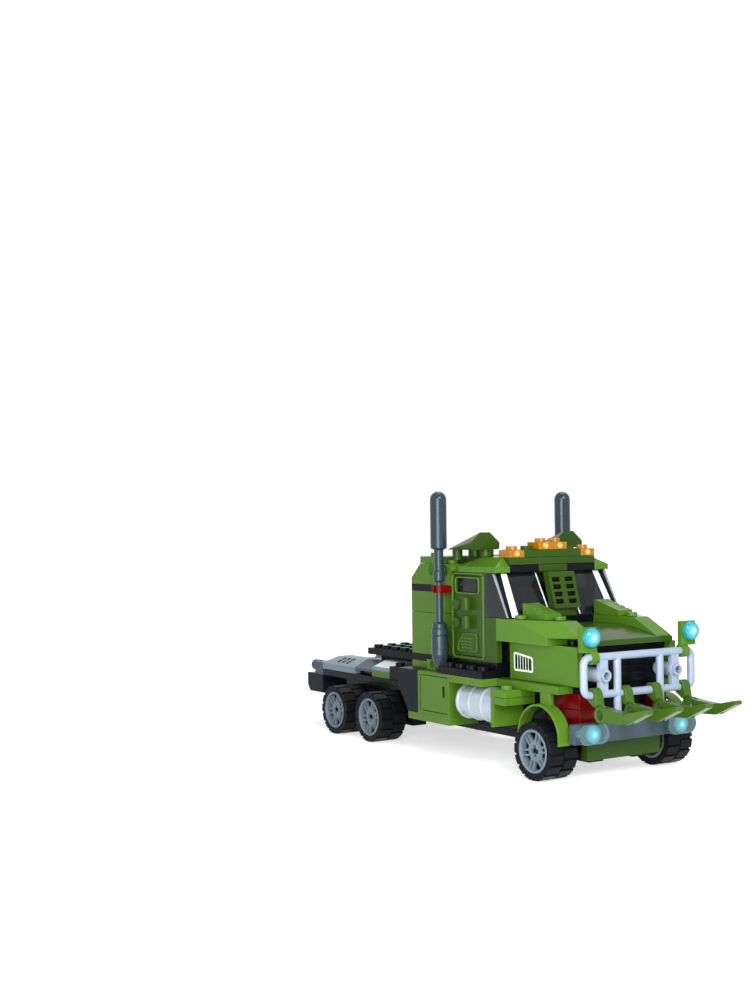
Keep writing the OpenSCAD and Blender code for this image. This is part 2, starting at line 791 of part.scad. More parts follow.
// Wedges over the side panels: upright to the crease, then drawn in to the front lip
module hood_wedges() {
    rear = px(-4.75);
    at_frame() color(green) {
        for (s = sides) mirror([0, s > 0 ? 0 : 1, 0]) difference() {
            hull() {
                box(rear, crease_x, px(2), cab_y, hood_top_z, sill_z);
                box(crease_x, corner_x, px(2), cab_y, hood_top_z, lv(16));
                box(crease_x, corner_x, px(2), hood_y, hood_top_z, sill_z);
                box(corner_x, lip_x - lip_t, px(2), hood_y, hood_top_z, lip_z + 0.4);
            }
            box(corner_x, lip_x - 2.5, px(2.2), cab_y + e, hood_top_z - e, lv(16));
            box(corner_x, lip_x, hood_y, cab_y + e, hood_top_z - e, lv(16));
            box(rear - e, px(-4), cab_y - plate_h, cab_y + e, hood_top_z - e, sill_z + e);
        }
        stud_pair(px(-1), 2, 1, 1, sill_z);
        stud_pair(px(-3), 3, 1, 1, sill_z);
    }
}

// Middle of the hood: a front lip, then one curved sweep that levels out below the wedges
lip_x = px(2);
lip_t = 1;
lip_z = lv(15) + 2.3;
sweep_z = lv(17);
function sweep(t) = [lip_x - t * px(3), lip_z + (sweep_z - lip_z) * sin(90 * t)];

module hood_top() {
    steps = 8;
    at_frame() color(green) {
        side_cut(0, 2 * px(2) - 0.1) polygon(concat(
            [[px(-4.75), hood_top_z], [lip_x - lip_t, hood_top_z]],
            [for (i = [0 : steps]) sweep(i / steps)],
            [[px(-4.75), sweep_z]]
        ));
        box(lip_x - lip_t, lip_x, -hood_y, hood_y, hood_top_z, lip_z);
    }
}

// Cowl: slotted slopes that rise to the windscreen's foot, and a studded block between them
module cowl_slopes() {
    high = lv(20);
    low_z = sill_z + 2.4;
    low_x = px(-1);
    high_x = pane_foot + 1.2;
    rear = pane_foot + 0.2;
    slot_w = 1.2;
    at_frame() color(green) for (s = sides) difference() {
        side_cut(s * px(2.5), px(1)) polygon([
            [low_x, sill_z], [low_x, low_z], [high_x, high], [rear, high], [rear, sill_z]
        ]);
        for (i = [1 : 3]) {
            x = low_x + (high_x - low_x) * i / 4;
            z = low_z + (high - low_z) * i / 4;
            translate([x, s * px(3), z]) cube([slot_w, px(0.8), 1.8], center = true);
        }
    }
    at_frame() color(black) {
        box(px(-4.75), pane_foot, -px(2) + 0.1, px(2) - 0.1, sweep_z, sill_z);
        for (s = sides) stud(px(-3.7), s * px(1.5), sill_z);
    }
}

// Fenders: thin arches over the front wheels
module fenders() {
    centre_z = lv(3) + 1.9;
    foot_z = lv(3) - 0.7;
    outer_y = px(4.5);
    at_frame() color(green) for (s = sides) {
        difference() {
            rod_y([0, s > 0 ? outer_y - arch_w : -outer_y, centre_z], 2 * (arch_r + arch_t), arch_w);
            rod_y([0, -px(5), centre_z], 2 * arch_r, px(10));
            box(-px(3), px(3), -px(5), px(5), -px(1), foot_z);
        }
        box(-px(0.4), px(0.4), s > 0 ? px(3.75) : -cab_y, s > 0 ? cab_y : -px(3.75),
            centre_z + arch_r + arch_t / 2, lv(9));
    }
}

// ---------- front ----------

bumper_x = px(1.85);
bumper_low = lv(3) + 0.2;
bumper_high = lv(5) + 1.8;

module bumper() {
    at_frame() color(grey) {
        box(bumper_x, bumper_x + plate_h, -cab_y, cab_y, bumper_low, bumper_high);
    }
}

// Oval lamps on the bumper's ends
module bumper_lamps() {
    face = bumper_x + plate_h;
    mid = (bumper_low + bumper_high) / 2;
    at_frame() color(ice) for (s = sides) {
        for (side = sides) rod_x([face, s * px(3) + side * px(0.5), mid], px(1), plate_h);
        box(face, face + plate_h, s * px(3) - px(0.5), s * px(3) + px(0.5), mid - px(0.5), mid + px(0.5));
    }
}

// One quarter bend of the loop, in its own corner
module bend(y, z, turn) {
    translate([bar_x, y, z]) rotate([90, 0, 90]) rotate(turn)
        rotate_extrude(angle = 90, $fn = 32) translate([loop_bend, 0]) circle(d = bar_d, $fn = 24);
}

// Bull bar: rounded loop, two uprights, lamp plates with round bosses and their pegs
module bull_bar() {
    boss_y = 19.5;
    boss_d = 4.8;
    plate_w = 4.2;
    flange_d = 6.4;
    upright_y = 11.7;
    mid_z = (low_z + high_z) / 2;
    at_frame() color(pale) {
        for (z = [low_z, high_z]) rod_y([bar_x, -straight, z], bar_d, 2 * straight);
        for (s = sides) {
            rod_z([bar_x, s * loop_half, low_z + loop_bend], bar_d, high_z - low_z - 2 * loop_bend);
            rod_z([bar_x, s * upright_y, low_z - px(0.9)], bar_d, high_z - low_z + px(0.9));
            difference() {
                union() {
                    box(bar_x - 1, bar_x + 1, s * boss_y - plate_w / 2, s * boss_y + plate_w / 2,
                        low_z, high_z);
                    rod_x([bar_x - 1, s * boss_y, mid_z], flange_d, 2);
                    rod_x([bar_x + 1 - e, s * boss_y, mid_z], boss_d, 1.6);
                    rod_x([px(1.5), s * boss_y, mid_z], flange_d - 0.4, bar_x - 1 - px(1.5) + e);
                }
                rod_x([bar_x - 3, s * boss_y, mid_z], bar_d, px(2));
            }
        }
        bend(straight, high_z - loop_bend, 0);
        bend(-straight, high_z - loop_bend, 90);
        bend(-straight, low_z + loop_bend, 180);
        bend(straight, low_z + loop_bend, 270);
    }
}

// Upper lamp: a clip on the loop's upper bar, an upright bracket and a round lens
module clip_lamp(s) {
    clip_w = 3;
    inner_y = straight - 0.2 - clip_w;
    clip_y = s > 0 ? inner_y : -inner_y - clip_w;
    post_y = s > 0 ? inner_y : -inner_y - px(1);
    lens_z = high_z + px(1) + 0.2;
    at_frame() {
        color(green) difference() {
            union() {
                rod_y([bar_x, clip_y, high_z], bar_d + 2.4, clip_w);
                box(bar_x - 1.2, bar_x + 1.2, post_y, post_y + px(1), high_z + bar_d / 2 + 0.6,
                    lens_z + px(0.5));
            }
            rod_y([bar_x, clip_y - px(1), high_z], bar_d + 2 * fit, px(3));
        }
        color(ice) rod_x([bar_x + 1.2 - e, post_y + px(0.5), lens_z], lens_d, 3);
    }
}

module lamp_r() { clip_lamp(-1); }
module lamp_l() { clip_lamp(1); }

// Exhaust stacks: tip, silencer, bar, collar and domed pipe, turned as one piece
module exhaust_stacks() {
    foot = lv(10);
    bar_r = bar_d / 2;
    pipe_r = pipe_d / 2;
    can_r = silencer_d / 2;
    at_frame() color(steel) for (s = sides) translate([stack_x, s * stack_y, 0]) rotate_extrude()
        polygon(concat(
            [[0, foot], [1.3, foot], [1.3, lv(11) - 2.4], [can_r - 0.4, lv(12) + 0.8], [can_r, lv(12) + 1.2]],
            [[can_r, lv(15)], [can_r - 0.4, lv(15)], [can_r - 0.4, lv(15) + 0.5], [can_r, lv(15) + 0.5]],
            [[can_r, lv(16)], [can_r - 0.5, lv(16) + 0.4], [can_r - 0.5, lv(17) - 1], [bar_r, lv(17)]],
            [[bar_r, lv(22) + 1.6], [2.6, lv(22) + 2.4], [2.6, cab_top], [2.1, cab_top + 0.6]],
            [[2.1, lv(27)], [pipe_r, lv(27) + 0.8]],
            [for (a = [0 : 15 : 90]) [pipe_r * cos(a), stack_top - pipe_r + pipe_r * sin(a)]]
        ));
}

// ---------- claw fingers ----------

cheek_t = 1;
tongue_w = finger_w - 2 * cheek_t - 2 * run_gap;
trunnion_d = 5;
trunnion_bore = 4;
neck_r = 1.6;
beam_r = 2.6;
tip_pin_d = 2;
tip_r = 2.1;

// An outline in x and z made w wide about a finger's middle
module finger_slab(n, w) { side_cut(finger_y[n - 1], w) children(); }

// Base: a clip on the lower bar and an arm down to the knuckle's hollow trunnion
module finger_base(n) {
    y = finger_y[n - 1];
    clip = [bar_x, low_z];
    knuckle = [knuckle_x, knuckle_z];
    free = knuckle_r + neck_r + 1.5 * run_gap;
    neck = knuckle + (clip - knuckle) * free / norm(clip - knuckle);
    at_frame() color(green) difference() {
        union() {
            finger_slab(n, finger_w) link_2d(clip, bar_d / 2 + 1.3, neck, neck_r);
            finger_slab(n, tongue_w) link_2d(neck, neck_r, knuckle, knuckle_r - 0.3);
            rod_y([knuckle_x, y - finger_w / 2, knuckle_z], trunnion_d, finger_w);
        }
        rod_y([bar_x, y - finger_w, low_z], bar_d + 2 * fit, 2 * finger_w);
        rod_y([knuckle_x, y - finger_w, knuckle_z], trunnion_bore, 2 * finger_w);
    }
}

// Link: two cheeks on the trunnion, a solid beam and a tongue for the tip's pin
module finger_link_piece(n) {
    y = finger_y[n - 1];
    knuckle = [knuckle_x, knuckle_z];
    pin = [pin_x, knuckle_z];
    waist = knuckle + [knuckle_r + beam_r, 0];
    at_frame() color(green) difference() {
        union() {
            finger_slab(n, finger_w) link_2d(knuckle, knuckle_r, waist, beam_r);
            finger_slab(n, tongue_w) link_2d(waist, beam_r, pin, tip_r - run_gap);
            difference() {
                finger_slab(n, finger_w) link_2d(waist, beam_r, pin, tip_r);
                rod_y([pin_x, y - finger_w, knuckle_z], 2 * (tip_r + run_gap), 2 * finger_w);
            }
        }
        difference() {
            rod_y([knuckle_x, y - tongue_w / 2 - run_gap, knuckle_z], 2 * (knuckle_r + 0.1),
                tongue_w + 2 * run_gap);
            box(knuckle_x + knuckle_r + 0.2, pin_x, y - finger_w, y + finger_w, 0, px(8));
        }
        arm_slot(y);
        rod_y([knuckle_x, y - finger_w, knuckle_z], trunnion_d + 2 * fit, 2 * finger_w);
        rod_y([pin_x, y - finger_w, knuckle_z], tip_pin_d + 2 * fit, 2 * finger_w);
    }
}

// Room between the cheeks for the arm through the knuckle's whole swing
module arm_slot(y) {
    half = tongue_w / 2 + run_gap;
    box(knuckle_x - knuckle_r - 1, knuckle_x, y - half, y + half, knuckle_z - knuckle_r - 1,
        knuckle_z + knuckle_r + 1);
    box(knuckle_x - knuckle_r - 1, knuckle_x + knuckle_r + 0.2, y - half, y + half, knuckle_z,
        knuckle_z + knuckle_r + 1);
}

// Tip: two cheeks with a through pin and a wedge that rises to a blunt end
module finger_tip_piece(n) {
    y = finger_y[n - 1];
    pin = [pin_x, knuckle_z];
    end_r = 0.9;
    point = [tip_x - end_r, knuckle_z + 3.6];
    at_frame() color(green) difference() {
        finger_slab(n, finger_w) link_2d(pin, tip_r, point, end_r);
        difference() {
            box(pin_x - tip_r - 1, pin_x + tip_r + 0.4, y - tongue_w / 2 - run_gap,
                y + tongue_w / 2 + run_gap, knuckle_z - tip_r - 1, knuckle_z + tip_r + 1);
            rod_y([pin_x, y - finger_w, knuckle_z], tip_pin_d, 2 * finger_w);
        }
    }
}

module finger_base_1() { finger_base(1); }
module finger_base_2() { finger_base(2); }
module finger_base_3() { finger_base(3); }
module finger_base_4() { finger_base(4); }
module finger_link_1() { finger_link_piece(1); }
module finger_link_2() { finger_link_piece(2); }
module finger_link_3() { finger_link_piece(3); }
module finger_link_4() { finger_link_piece(4); }
module finger_tip_1() { finger_tip_piece(1); }
module finger_tip_2() { finger_tip_piece(2); }
module finger_tip_3() { finger_tip_piece(3); }
module finger_tip_4() { finger_tip_piece(4); }

front_wheels();
mid_wheels();
rear_wheels();
front_tyres();
mid_tyres();
rear_tyres();
axle_bricks();
frame_plate();
frame_bricks();
nose_block();
mud_guards();
deck_plates();
deck_slopes();
coupling_plate();
toolboxes();
toolbox_door_r();
toolbox_door_l();
side_steps();
sill_plates();
barrels();
barrel_brackets();
cab_floor();
sleeper_walls();
sleeper_roof();
red_bricks();
door_frames();
cab_door_r();
cab_door_l();
seat();
windscreens();
vent_panel();
visor();
trim_bricks();
roof_corners();
roof_lamps();
roof_fairings();
hood_core();
hood_sides();
hood_wedges();
hood_top();
cowl_slopes();
fenders();
bull_bar();
bumper();
bumper_lamps();
lamp_r();
lamp_l();
exhaust_stacks();
finger_base_1();
finger_base_2();
finger_base_3();
finger_base_4();
finger_link_1();
finger_link_2();
finger_link_3();
finger_link_4();
finger_tip_1();
finger_tip_2();
finger_tip_3();
finger_tip_4();
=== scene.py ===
"""Looks of the brick-built tractor truck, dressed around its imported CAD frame.

Sizes are in millimetres in the truck's own measure: x is 0 at the front axle and grows
forward, y is 0 in the middle, z is 0 on the ground. Meshes are written in metres, in the
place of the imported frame.
"""

import json
import logging
import math
import random
from collections.abc import Iterable, Sequence
from dataclasses import dataclass, field
from enum import Enum

import bmesh
import bpy
from mathutils import Matrix, Vector


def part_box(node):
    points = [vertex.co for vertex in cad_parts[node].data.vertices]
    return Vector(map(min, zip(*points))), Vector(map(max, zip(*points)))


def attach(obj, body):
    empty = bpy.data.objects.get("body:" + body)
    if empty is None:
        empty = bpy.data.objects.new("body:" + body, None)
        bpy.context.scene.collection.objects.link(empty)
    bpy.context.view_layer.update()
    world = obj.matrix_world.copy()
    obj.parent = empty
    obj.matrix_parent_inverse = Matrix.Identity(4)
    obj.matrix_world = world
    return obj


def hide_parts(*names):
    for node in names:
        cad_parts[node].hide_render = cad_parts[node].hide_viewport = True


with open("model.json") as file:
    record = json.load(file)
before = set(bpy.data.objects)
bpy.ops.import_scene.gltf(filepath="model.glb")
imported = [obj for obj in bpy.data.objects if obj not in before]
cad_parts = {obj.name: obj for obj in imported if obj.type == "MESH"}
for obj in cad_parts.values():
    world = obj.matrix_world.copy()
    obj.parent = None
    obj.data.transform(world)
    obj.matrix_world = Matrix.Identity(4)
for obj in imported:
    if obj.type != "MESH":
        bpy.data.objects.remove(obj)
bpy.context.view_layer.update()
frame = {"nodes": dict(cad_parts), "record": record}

Box = tuple[float, float, float, float, float, float]
Pair = tuple[float, float]
Point = tuple[float, float, float]
Colour = tuple[float, float, float]
Shape = bmesh.types.BMesh
Socket = bpy.types.NodeSocket
Tree = bpy.types.NodeTree

LOG = logging.getLogger("truck")
MM = 0.001
PITCH = 8.0  # between two studs
PLATE = 3.2  # height of one plate
BASE_Z = 6.2  # top of the axle bricks
WIDE = 300.0  # past the truck on every side
CLOSE = 1e-4  # points nearer than this are one
FLAT = math.radians(0.6)  # faces that meet at less than this are one
SHARP = math.radians(26.0)  # edges steeper than this get rounded
SIDES = (-1, 1)  # right, then left
# Place of the front axle in the frame.
SHIFT = sum(corner.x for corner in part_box("front_wheels")) / 2 / MM


def px(studs: float) -> float:
    """Length of a number of studs."""
    return studs * PITCH


def lv(plates: float) -> float:
    """Height of a level, counted in plates above the axle bricks."""
    return BASE_Z + plates * PLATE


def slab(x: Pair, z: Pair) -> Box:
    """Region over the truck's whole width, between two x and two z."""
    return (*x, -WIDE, WIDE, *z)


class Axis(Enum):
    """A direction of the truck."""

    X = 0
    Y = 1
    Z = 2


# ---------- nodes ----------


def fill(tree: Tree, node: bpy.types.Node, inputs: dict[str | int, object]) -> None:
    """Links each input of a node to a socket, or sets its value.

    Args:
        tree: Tree that the node is in.
        node: The node.
        inputs: Socket or value for each input, by its name or number.
    """
    for key, value in inputs.items():
        if isinstance(value, Socket):
            tree.links.new(value, node.inputs[key])
        else:
            node.inputs[key].default_value = value


def add_node(
    tree: Tree, kind: str, inputs: dict[str | int, object] | None = None, **values: object
) -> bpy.types.Node:
    """Adds a node.

    Args:
        tree: Tree that gets the node.
        kind: Blender's name of the node.
        inputs: Socket or value for each input, by its name or number.
        values: Properties by name.

    Returns:
        The node.
    """
    node = tree.nodes.new(kind)
    for name, value in values.items():
        setattr(node, name, value)
    fill(tree, node, inputs or {})
    return node


def maths(tree: Tree, operation: str, a: Socket, b: Socket | float) -> Socket:
    """Adds an operation on two numbers and gives its result."""
    return add_node(tree, "ShaderNodeMath", {0: a, 1: b}, operation=operation).outputs[0]


def mix_colour(tree: Tree, factor: Socket, first: object, second: object) -> Socket:
    """Adds a mix of two colours and gives its result."""
    inputs = {0: factor, 6: first, 7: second}
    return add_node(tree, "ShaderNodeMix", inputs, data_type="RGBA").outputs[2]


class NodeGroup:
    """A node group whose inputs take their kind from their default values."""

    tree_kind = "ShaderNodeTree"
    socket_kinds: dict[type, str] = {float: "NodeSocketFloat", tuple: "NodeSocketColor"}

    def __init__(self, name: str, inputs: dict[str, object], outputs: dict[str, str]) -> None:
        """Makes the group's sockets.

        Args:
            name: Name of the group.
            inputs: Default value of each input, by its name.
            outputs: Kind of socket of each output, by its name.
        """
        self.tree = bpy.data.node_groups.new(name, self.tree_kind)
        self.identifiers: dict[str, str] = {}
        interface = self.tree.interface
        for label, value in inputs.items():
            kind = self.socket_kinds[type(value)]
            socket = interface.new_socket(label, in_out="INPUT", socket_type=kind)
            if value is not None:
                socket.default_value = value
            self.identifiers[label] = socket.identifier
        for label, kind in outputs.items():
            interface.new_socket(label, in_out="OUTPUT", socket_type=kind)
        self.source = self.tree.nodes.new("NodeGroupInput").outputs
        self.sink = self.tree.nodes.new("NodeGroupOutput")

    def node(
        self, kind: str, inputs: dict[str | int, object] | None = None, **values: object
    ) -> bpy.types.Node:
        """Adds a node to the group. See add_node."""
        return add_node(self.tree, kind, inputs, **values)

    def maths(self, operation: str, a: Socket, b: Socket | float) -> Socket:
        """Adds an operation on two numbers and gives its result."""
        return maths(self.tree, operation, a, b)

    def noise(self, scale: Socket | float, detail: float = 2.0) -> Socket:
        """Adds a noise in the object's own space and gives its value.

        Args:
            scale: Scale of the noise.
            detail: How many finer layers it has.

        Returns:
            Its value.
        """
        place = self.node("ShaderNodeTexCoord").outputs["Object"]
        inputs = {"Vector": place, "Scale": scale, "Detail": detail}
        return self.node("ShaderNodeTexNoise", inputs).outputs["Fac"]


class EdgeWearAndHighlight(NodeGroup):
    """Mask that is bright along edges, broken up by noise: it marks worn edges and also paints edge
    highlights.
    """

    def __init__(self) -> None:
        """Builds the group: the more the rounded normal leans, the brighter the mask."""
        inputs = {"Radius": 0.0002, "Amount": 1.0}
        super().__init__("edge_wear_and_highlight", inputs, {"Mask": "NodeSocketFloat"})
        bevel = self.node("ShaderNodeBevel", {"Radius": self.source["Radius"]}, samples=4)
        normal = self.node("ShaderNodeNewGeometry").outputs["Normal"]
        both = {0: bevel.outputs[0], 1: normal}
        dot = self.node("ShaderNodeVectorMath", both, operation="DOT_PRODUCT").outputs["Value"]
        spread = self.node("ShaderNodeMapRange", {"Value": dot, "From Min": 1.0, "From Max": 0.86})
        broken = self.maths("MULTIPLY", spread.outputs[0], self.noise(300.0))
        mask = self.maths("MULTIPLY", broken, self.source["Amount"])
        fill(self.tree, self.sink, {"Mask": mask})


class MouldedSkin(NodeGroup):
    """Surface of a moulded part: tone, flow marks, fine grain, edges lightened for wear and as
    painted highlight, and rounding.
    """

    def __init__(self, wear_and_highlight: EdgeWearAndHighlight) -> None:
        """Builds the group.

        Args:
            wear_and_highlight: The group that finds the edges, for wear and painted edge
                highlights.
        """
        super().__init__(
            "moulded_skin",
            {
                "Colour": (0.5, 0.5, 0.5, 1.0),
                "Tone": 0.06,
                "Roughness": 0.3,
                "Grain Scale": 2500.0,
                "Grain Depth": 0.02,
                "Wear_And_Highlight": 0.3,
                "Rounding": 0.00012,
            },
            {
                "Colour": "NodeSocketColor",
                "Roughness": "NodeSocketFloat",
                "Normal": "NodeSocketVector",
            },
        )
        source = self.source
        tone = self.node("ShaderNodeAttribute", attribute_name="brick_tone").outputs["Fac"]
        marks = self.maths("SUBTRACT", self.noise(45.0, 3.0), 0.5)
        both = self.maths("ADD", self.maths("MULTIPLY", marks, 1.6), tone)
        value = self.maths("ADD", self.maths("MULTIPLY", both, source["Tone"]), 1.0)
        tint = {"Color": source["Colour"], "Value": value}
        shaded = self.node("ShaderNodeHueSaturation", tint).outputs[0]
        # Lighter colour along the edges: partly wear, partly a painted edge highlight.
        worn_and_highlit_tint = {"Color": shaded, "Value": 1.5, "Saturation": 0.85}
        worn_and_highlit = self.node("ShaderNodeHueSaturation", worn_and_highlit_tint).outputs[0]
        edges = self.node("ShaderNodeGroup", node_tree=wear_and_highlight.tree)
        fill(self.tree, edges, {"Amount": source["Wear_And_Highlight"]})
        smears = self.maths("SUBTRACT", self.noise(160.0, 4.0), 0.5)
        rough = self.maths("MULTIPLY", smears, 0.10)
        rounded = self.node("ShaderNodeBevel", {"Radius": source["Rounding"]}, samples=4)
        grain = {
            "Distance": 0.00004,
            "Strength": source["Grain Depth"],
            "Height": self.noise(source["Grain Scale"]),
            "Normal": rounded.outputs[0],
        }
        results = {
            "Colour": mix_colour(self.tree, edges.outputs["Mask"], shaded, worn_and_highlit),
            "Roughness": self.maths("ADD", rough, source["Roughness"]),
            "Normal": self.node("ShaderNodeBump", grain).outputs[0],
        }
        fill(self.tree, self.sink, results)


class PaintedLensGlow(NodeGroup):
    """Painted glow of a lens piece, which gives no light of its own: it stands for the lens's
    highlight, from the glow value painted on the lens.
    """

    def __init__(self) -> None:
        """Builds the group: dark at the rim, then the lens's colour, white in the middle, where the
        painted highlight is.
        """
        white = (1.0, 1.0, 1.0, 1.0)
        super().__init__("painted_lens_glow", {"Colour": white}, {"Emission": "NodeSocketColor"})
        glow = self.node("ShaderNodeAttribute", attribute_name="glow").outputs["Fac"]
        rim, core = (self.maths("POWER", glow, power) for power in (1.3, 4.0))
        coloured = mix_colour(self.tree, rim, (0, 0, 0, 1), self.source["Colour"])
        fill(self.tree, self.sink, {"Emission": mix_colour(self.tree, core, coloured, white)})


# ---------- finishes ----------


@dataclass(frozen=True)
class Finish:
    """A moulded finish."""

    name: str
    colour: Colour
    roughness: float = 0.3
    tone: float = 0.06
    grain_scale: float = 2500.0
    grain_depth: float = 0.15
    # How strongly edges are lightened: partly wear, partly a painted edge highlight.
    wear_and_highlight: float = 0.35
    rounding: float = 0.00012
    metallic: float = 0.0
    transmission: float = 0.0
    ior: float = 1.53
    specular: float = 0.5
    # Colour of a painted glow on lens pieces, which give no light: it stands for their highlights.
    glow: Colour | None = None


class FinishShelf:
    """Makes each finish's material once."""

    def __init__(self) -> None:
        """Builds the shared groups."""
        self.skin = MouldedSkin(EdgeWearAndHighlight())
        # Group that paints a glow on lens pieces, standing for their highlights.
        self.lamp = PaintedLensGlow()
        self.made: dict[str, bpy.types.Material] = {}

    def material(self, finish: Finish) -> bpy.types.Material:
        """Gives a finish's material, and builds it the first time.

        Args:
            finish: The finish.

        Returns:
            Its material.
        """
        if finish.name in self.made:
            return self.made[finish.name]
        material = bpy.data.materials.new(finish.name)
        material.use_nodes = True
        tree = material.node_tree
        shader = tree.nodes["Principled BSDF"]
        skin = add_node(tree, "ShaderNodeGroup", node_tree=self.skin.tree)
        fill(tree, skin, {"Colour": (*finish.colour, 1)})
        for label in ("Tone", "Roughness", "Grain Scale", "Grain Depth", "Wear_And_Highlight", "Rounding"):
            value = getattr(finish, label.lower().replace(" ", "_"))
            skin.inputs[label].default_value = value
        surface = {
            "Base Color": skin.outputs["Colour"],
            "Roughness": skin.outputs["Roughness"],
            "Normal": skin.outputs["Normal"],
            "Metallic": finish.metallic,
            "IOR": finish.ior,
            "Transmission Weight": finish.transmission,
            "Specular IOR Level": finish.specular,
        }
        fill(tree, shader, surface)
        # Lens pieces get a painted glow that stands for their highlight; they give no light of
        # their own.
        if finish.glow:
            lamp = add_node(tree, "ShaderNodeGroup", node_tree=self.lamp.tree)
            fill(tree, lamp, {"Colour": (*finish.glow, 1)})
            light = {"Emission Color": lamp.outputs["Emission"], "Emission Strength": 1.0}
            fill(tree, shader, light)
        self.made[finish.name] = material
        return material


GREEN = Finish("green_plastic", (0.070, 0.168, 0.012), 0.23, specular=0.15, wear_and_highlight=0.6)
# The claws' strong edge lightening paints their edge highlights as well as wear.
CLAW_GREEN = Finish(
    "claw_plastic", (0.045, 0.112, 0.008), 0.2, specular=0.2, wear_and_highlight=3.5, rounding=0.0002
)
DARK_GREEN = Finish("dark_green_plastic", (0.026, 0.066, 0.005), 0.2, specular=0.12, wear_and_highlight=1.5)
BLACK = Finish("black_plastic", (0.003, 0.004, 0.006), 0.24, 0.1, specular=0.08, wear_and_highlight=0.8)
SLATE = Finish("slate_plastic", (0.005, 0.010, 0.014), 0.28, 0.1, specular=0.06, wear_and_highlight=0.8)
GREY = Finish("grey_plastic", (0.052, 0.080, 0.102), 0.26, 0.03, specular=0.15)
LIGHT_GREY = Finish("light_grey_plastic", (0.185, 0.275, 0.330), 0.26, specular=0.2)
RIM_GREY = Finish("rim_plastic", (0.135, 0.182, 0.215), 0.3, specular=0.2)
RUBBER = Finish(
    "tyre_rubber", (0.005, 0.006, 0.007), 0.4, grain_depth=0.5, grain_scale=1400.0, wear_and_highlight=1.2,
    specular=0.06,
)
PALE = Finish("pale_plastic", (0.290, 0.360, 0.460), 0.2, 0.03, wear_and_highlight=0.1, specular=0.4)
BARREL = Finish("barrel_plastic", (0.400, 0.470, 0.530), 0.2, 0.03, metallic=0.3, specular=0.3)
STEEL = Finish("stack_plastic", (0.024, 0.044, 0.054), 0.16, metallic=0.25, specular=0.25)
RED = Finish("red_plastic", (0.115, 0.001, 0.001), 0.22, specular=0.1)
# The clear lens finishes carry a painted glow that stands for the highlights in the lenses.
ORANGE = Finish(
    "orange_clear", (0.50, 0.21, 0.001), 0.08, 0.03, wear_and_highlight=0.1, transmission=0.3, specular=0.2,
    glow=(1.0, 0.42, 0.01),
)
ICE = Finish(
    "ice_clear", (0.34, 0.76, 0.84), 0.05, 0.03, wear_and_highlight=0.1, transmission=0.86, specular=0.4,
    glow=(0.02, 0.62, 0.78),
)
ICE_PAINTED_GLOW = Finish(
    "ice_painted_glow", (0.02, 0.26, 0.32), 0.08, 0.03, wear_and_highlight=0.1, transmission=0.15, specular=0.3,
    glow=(0.0, 0.55, 0.64),
)
PANE = Finish(
    "smoky_clear", (0.11, 0.135, 0.15), 0.03, 0.02, wear_and_highlight=0.0, transmission=0.94, specular=0.15,
    grain_depth=0.02, ior=1.3,
)
# Bright and grey bands that paint reflections on the screens' edges.
PAINTED_GLASS_HIGHLIGHT = Finish("painted_glass_highlight", (0.84, 0.89, 0.92), 0.15, transmission=0.1, wear_and_highlight=0.0)
PAINTED_DIM_REFLECTION = Finish("painted_dim_reflection", (0.21, 0.27, 0.31), 0.15, wear_and_highlight=0.0)
LABEL_WHITE = Finish("label_white", (0.86, 0.88, 0.87), 0.35, 0.02, wear_and_highlight=0.0, rounding=0.00002)
# Black for printed marks on labels, and for painted shade in slots and a dark painted band on the
# screens.
BLACK_PRINT_AND_PAINTED_SHADE = Finish(
    "black_print_and_painted_shade", (0.003, 0.004, 0.003), 0.35, wear_and_highlight=0.0, rounding=0.00002, specular=0.08
)
Dressed = tuple[Shape, Finish]

SLOT_FINISH = {
    "green_brick": GREEN,
    "dark_green_brick": DARK_GREEN,
    "black_brick": BLACK,
    "slate_brick": SLATE,
    "grey_brick": GREY,
    "grey_rim": RIM_GREY,
    "tyre": RUBBER,
    "pale_plastic": PALE,
    "stack_plastic": STEEL,
    "red_brick": RED,
    "orange_lens": ORANGE,
    "ice_lens": ICE,
    "clear_pane": PANE,
}
SHELF = FinishShelf()
TONES = random.Random(11)


# ---------- mesh tools ----------


def reach(shape: Shape) -> tuple[Vector, Vector]:
    """Lowest and highest corner of a shape.

    Args:
        shape: The shape.

    Returns:
        The two corners.
    """
    places = [v.co for v in shape.verts]
    low, high = (Vector([pick(p[i] for p in places) for i in range(3)]) for pick in (min, max))
    return low, high


def holds(region: Box | None, shape: Shape) -> bool:
    """Whether the middle of a shape lies in a region.

    Args:
        region: The region, or None for anywhere.
        shape: The shape.

    Returns:
        True where the shape's middle lies in the region.
    """
    if region is None:
        return True
    low, high = reach(shape)
    middle = (low + high) / 2
    return all(region[2 * i] <= middle[i] <= region[2 * i + 1] for i in range(3))


def loose_parts(shape: Shape) -> list[Shape]:
    """Splits a shape into its separate closed bodies.

    Args:
        shape: The shape, which is used up.

    Returns:
        One shape for each body.
    """
    shape.faces.index_update()
    shape.faces.ensure_lookup_table()
    left = set(range(len(shape.faces)))
    groups: list[set[int]] = []
    while left:
        start = min(left)
        group, front = {start}, [start]
        while front:
            face = shape.faces[front.pop()]
            for edge in face.edges:
                for other in edge.link_faces:
                    if other.index not in group:
                        group.add(other.index)
                        front.append(other.index)
        groups.append(group)
        left -= group
    if len(groups) == 1:
        return [shape]
    parts = []
    for group in groups:
        part = shape.copy()
        part.faces.ensure_lookup_table()
        away = [part.faces[i] for i in range(len(part.faces)) if i not in group]
        bmesh.ops.delete(part, geom=away, context="FACES")
        parts.append(part)
    shape.free()
    return parts


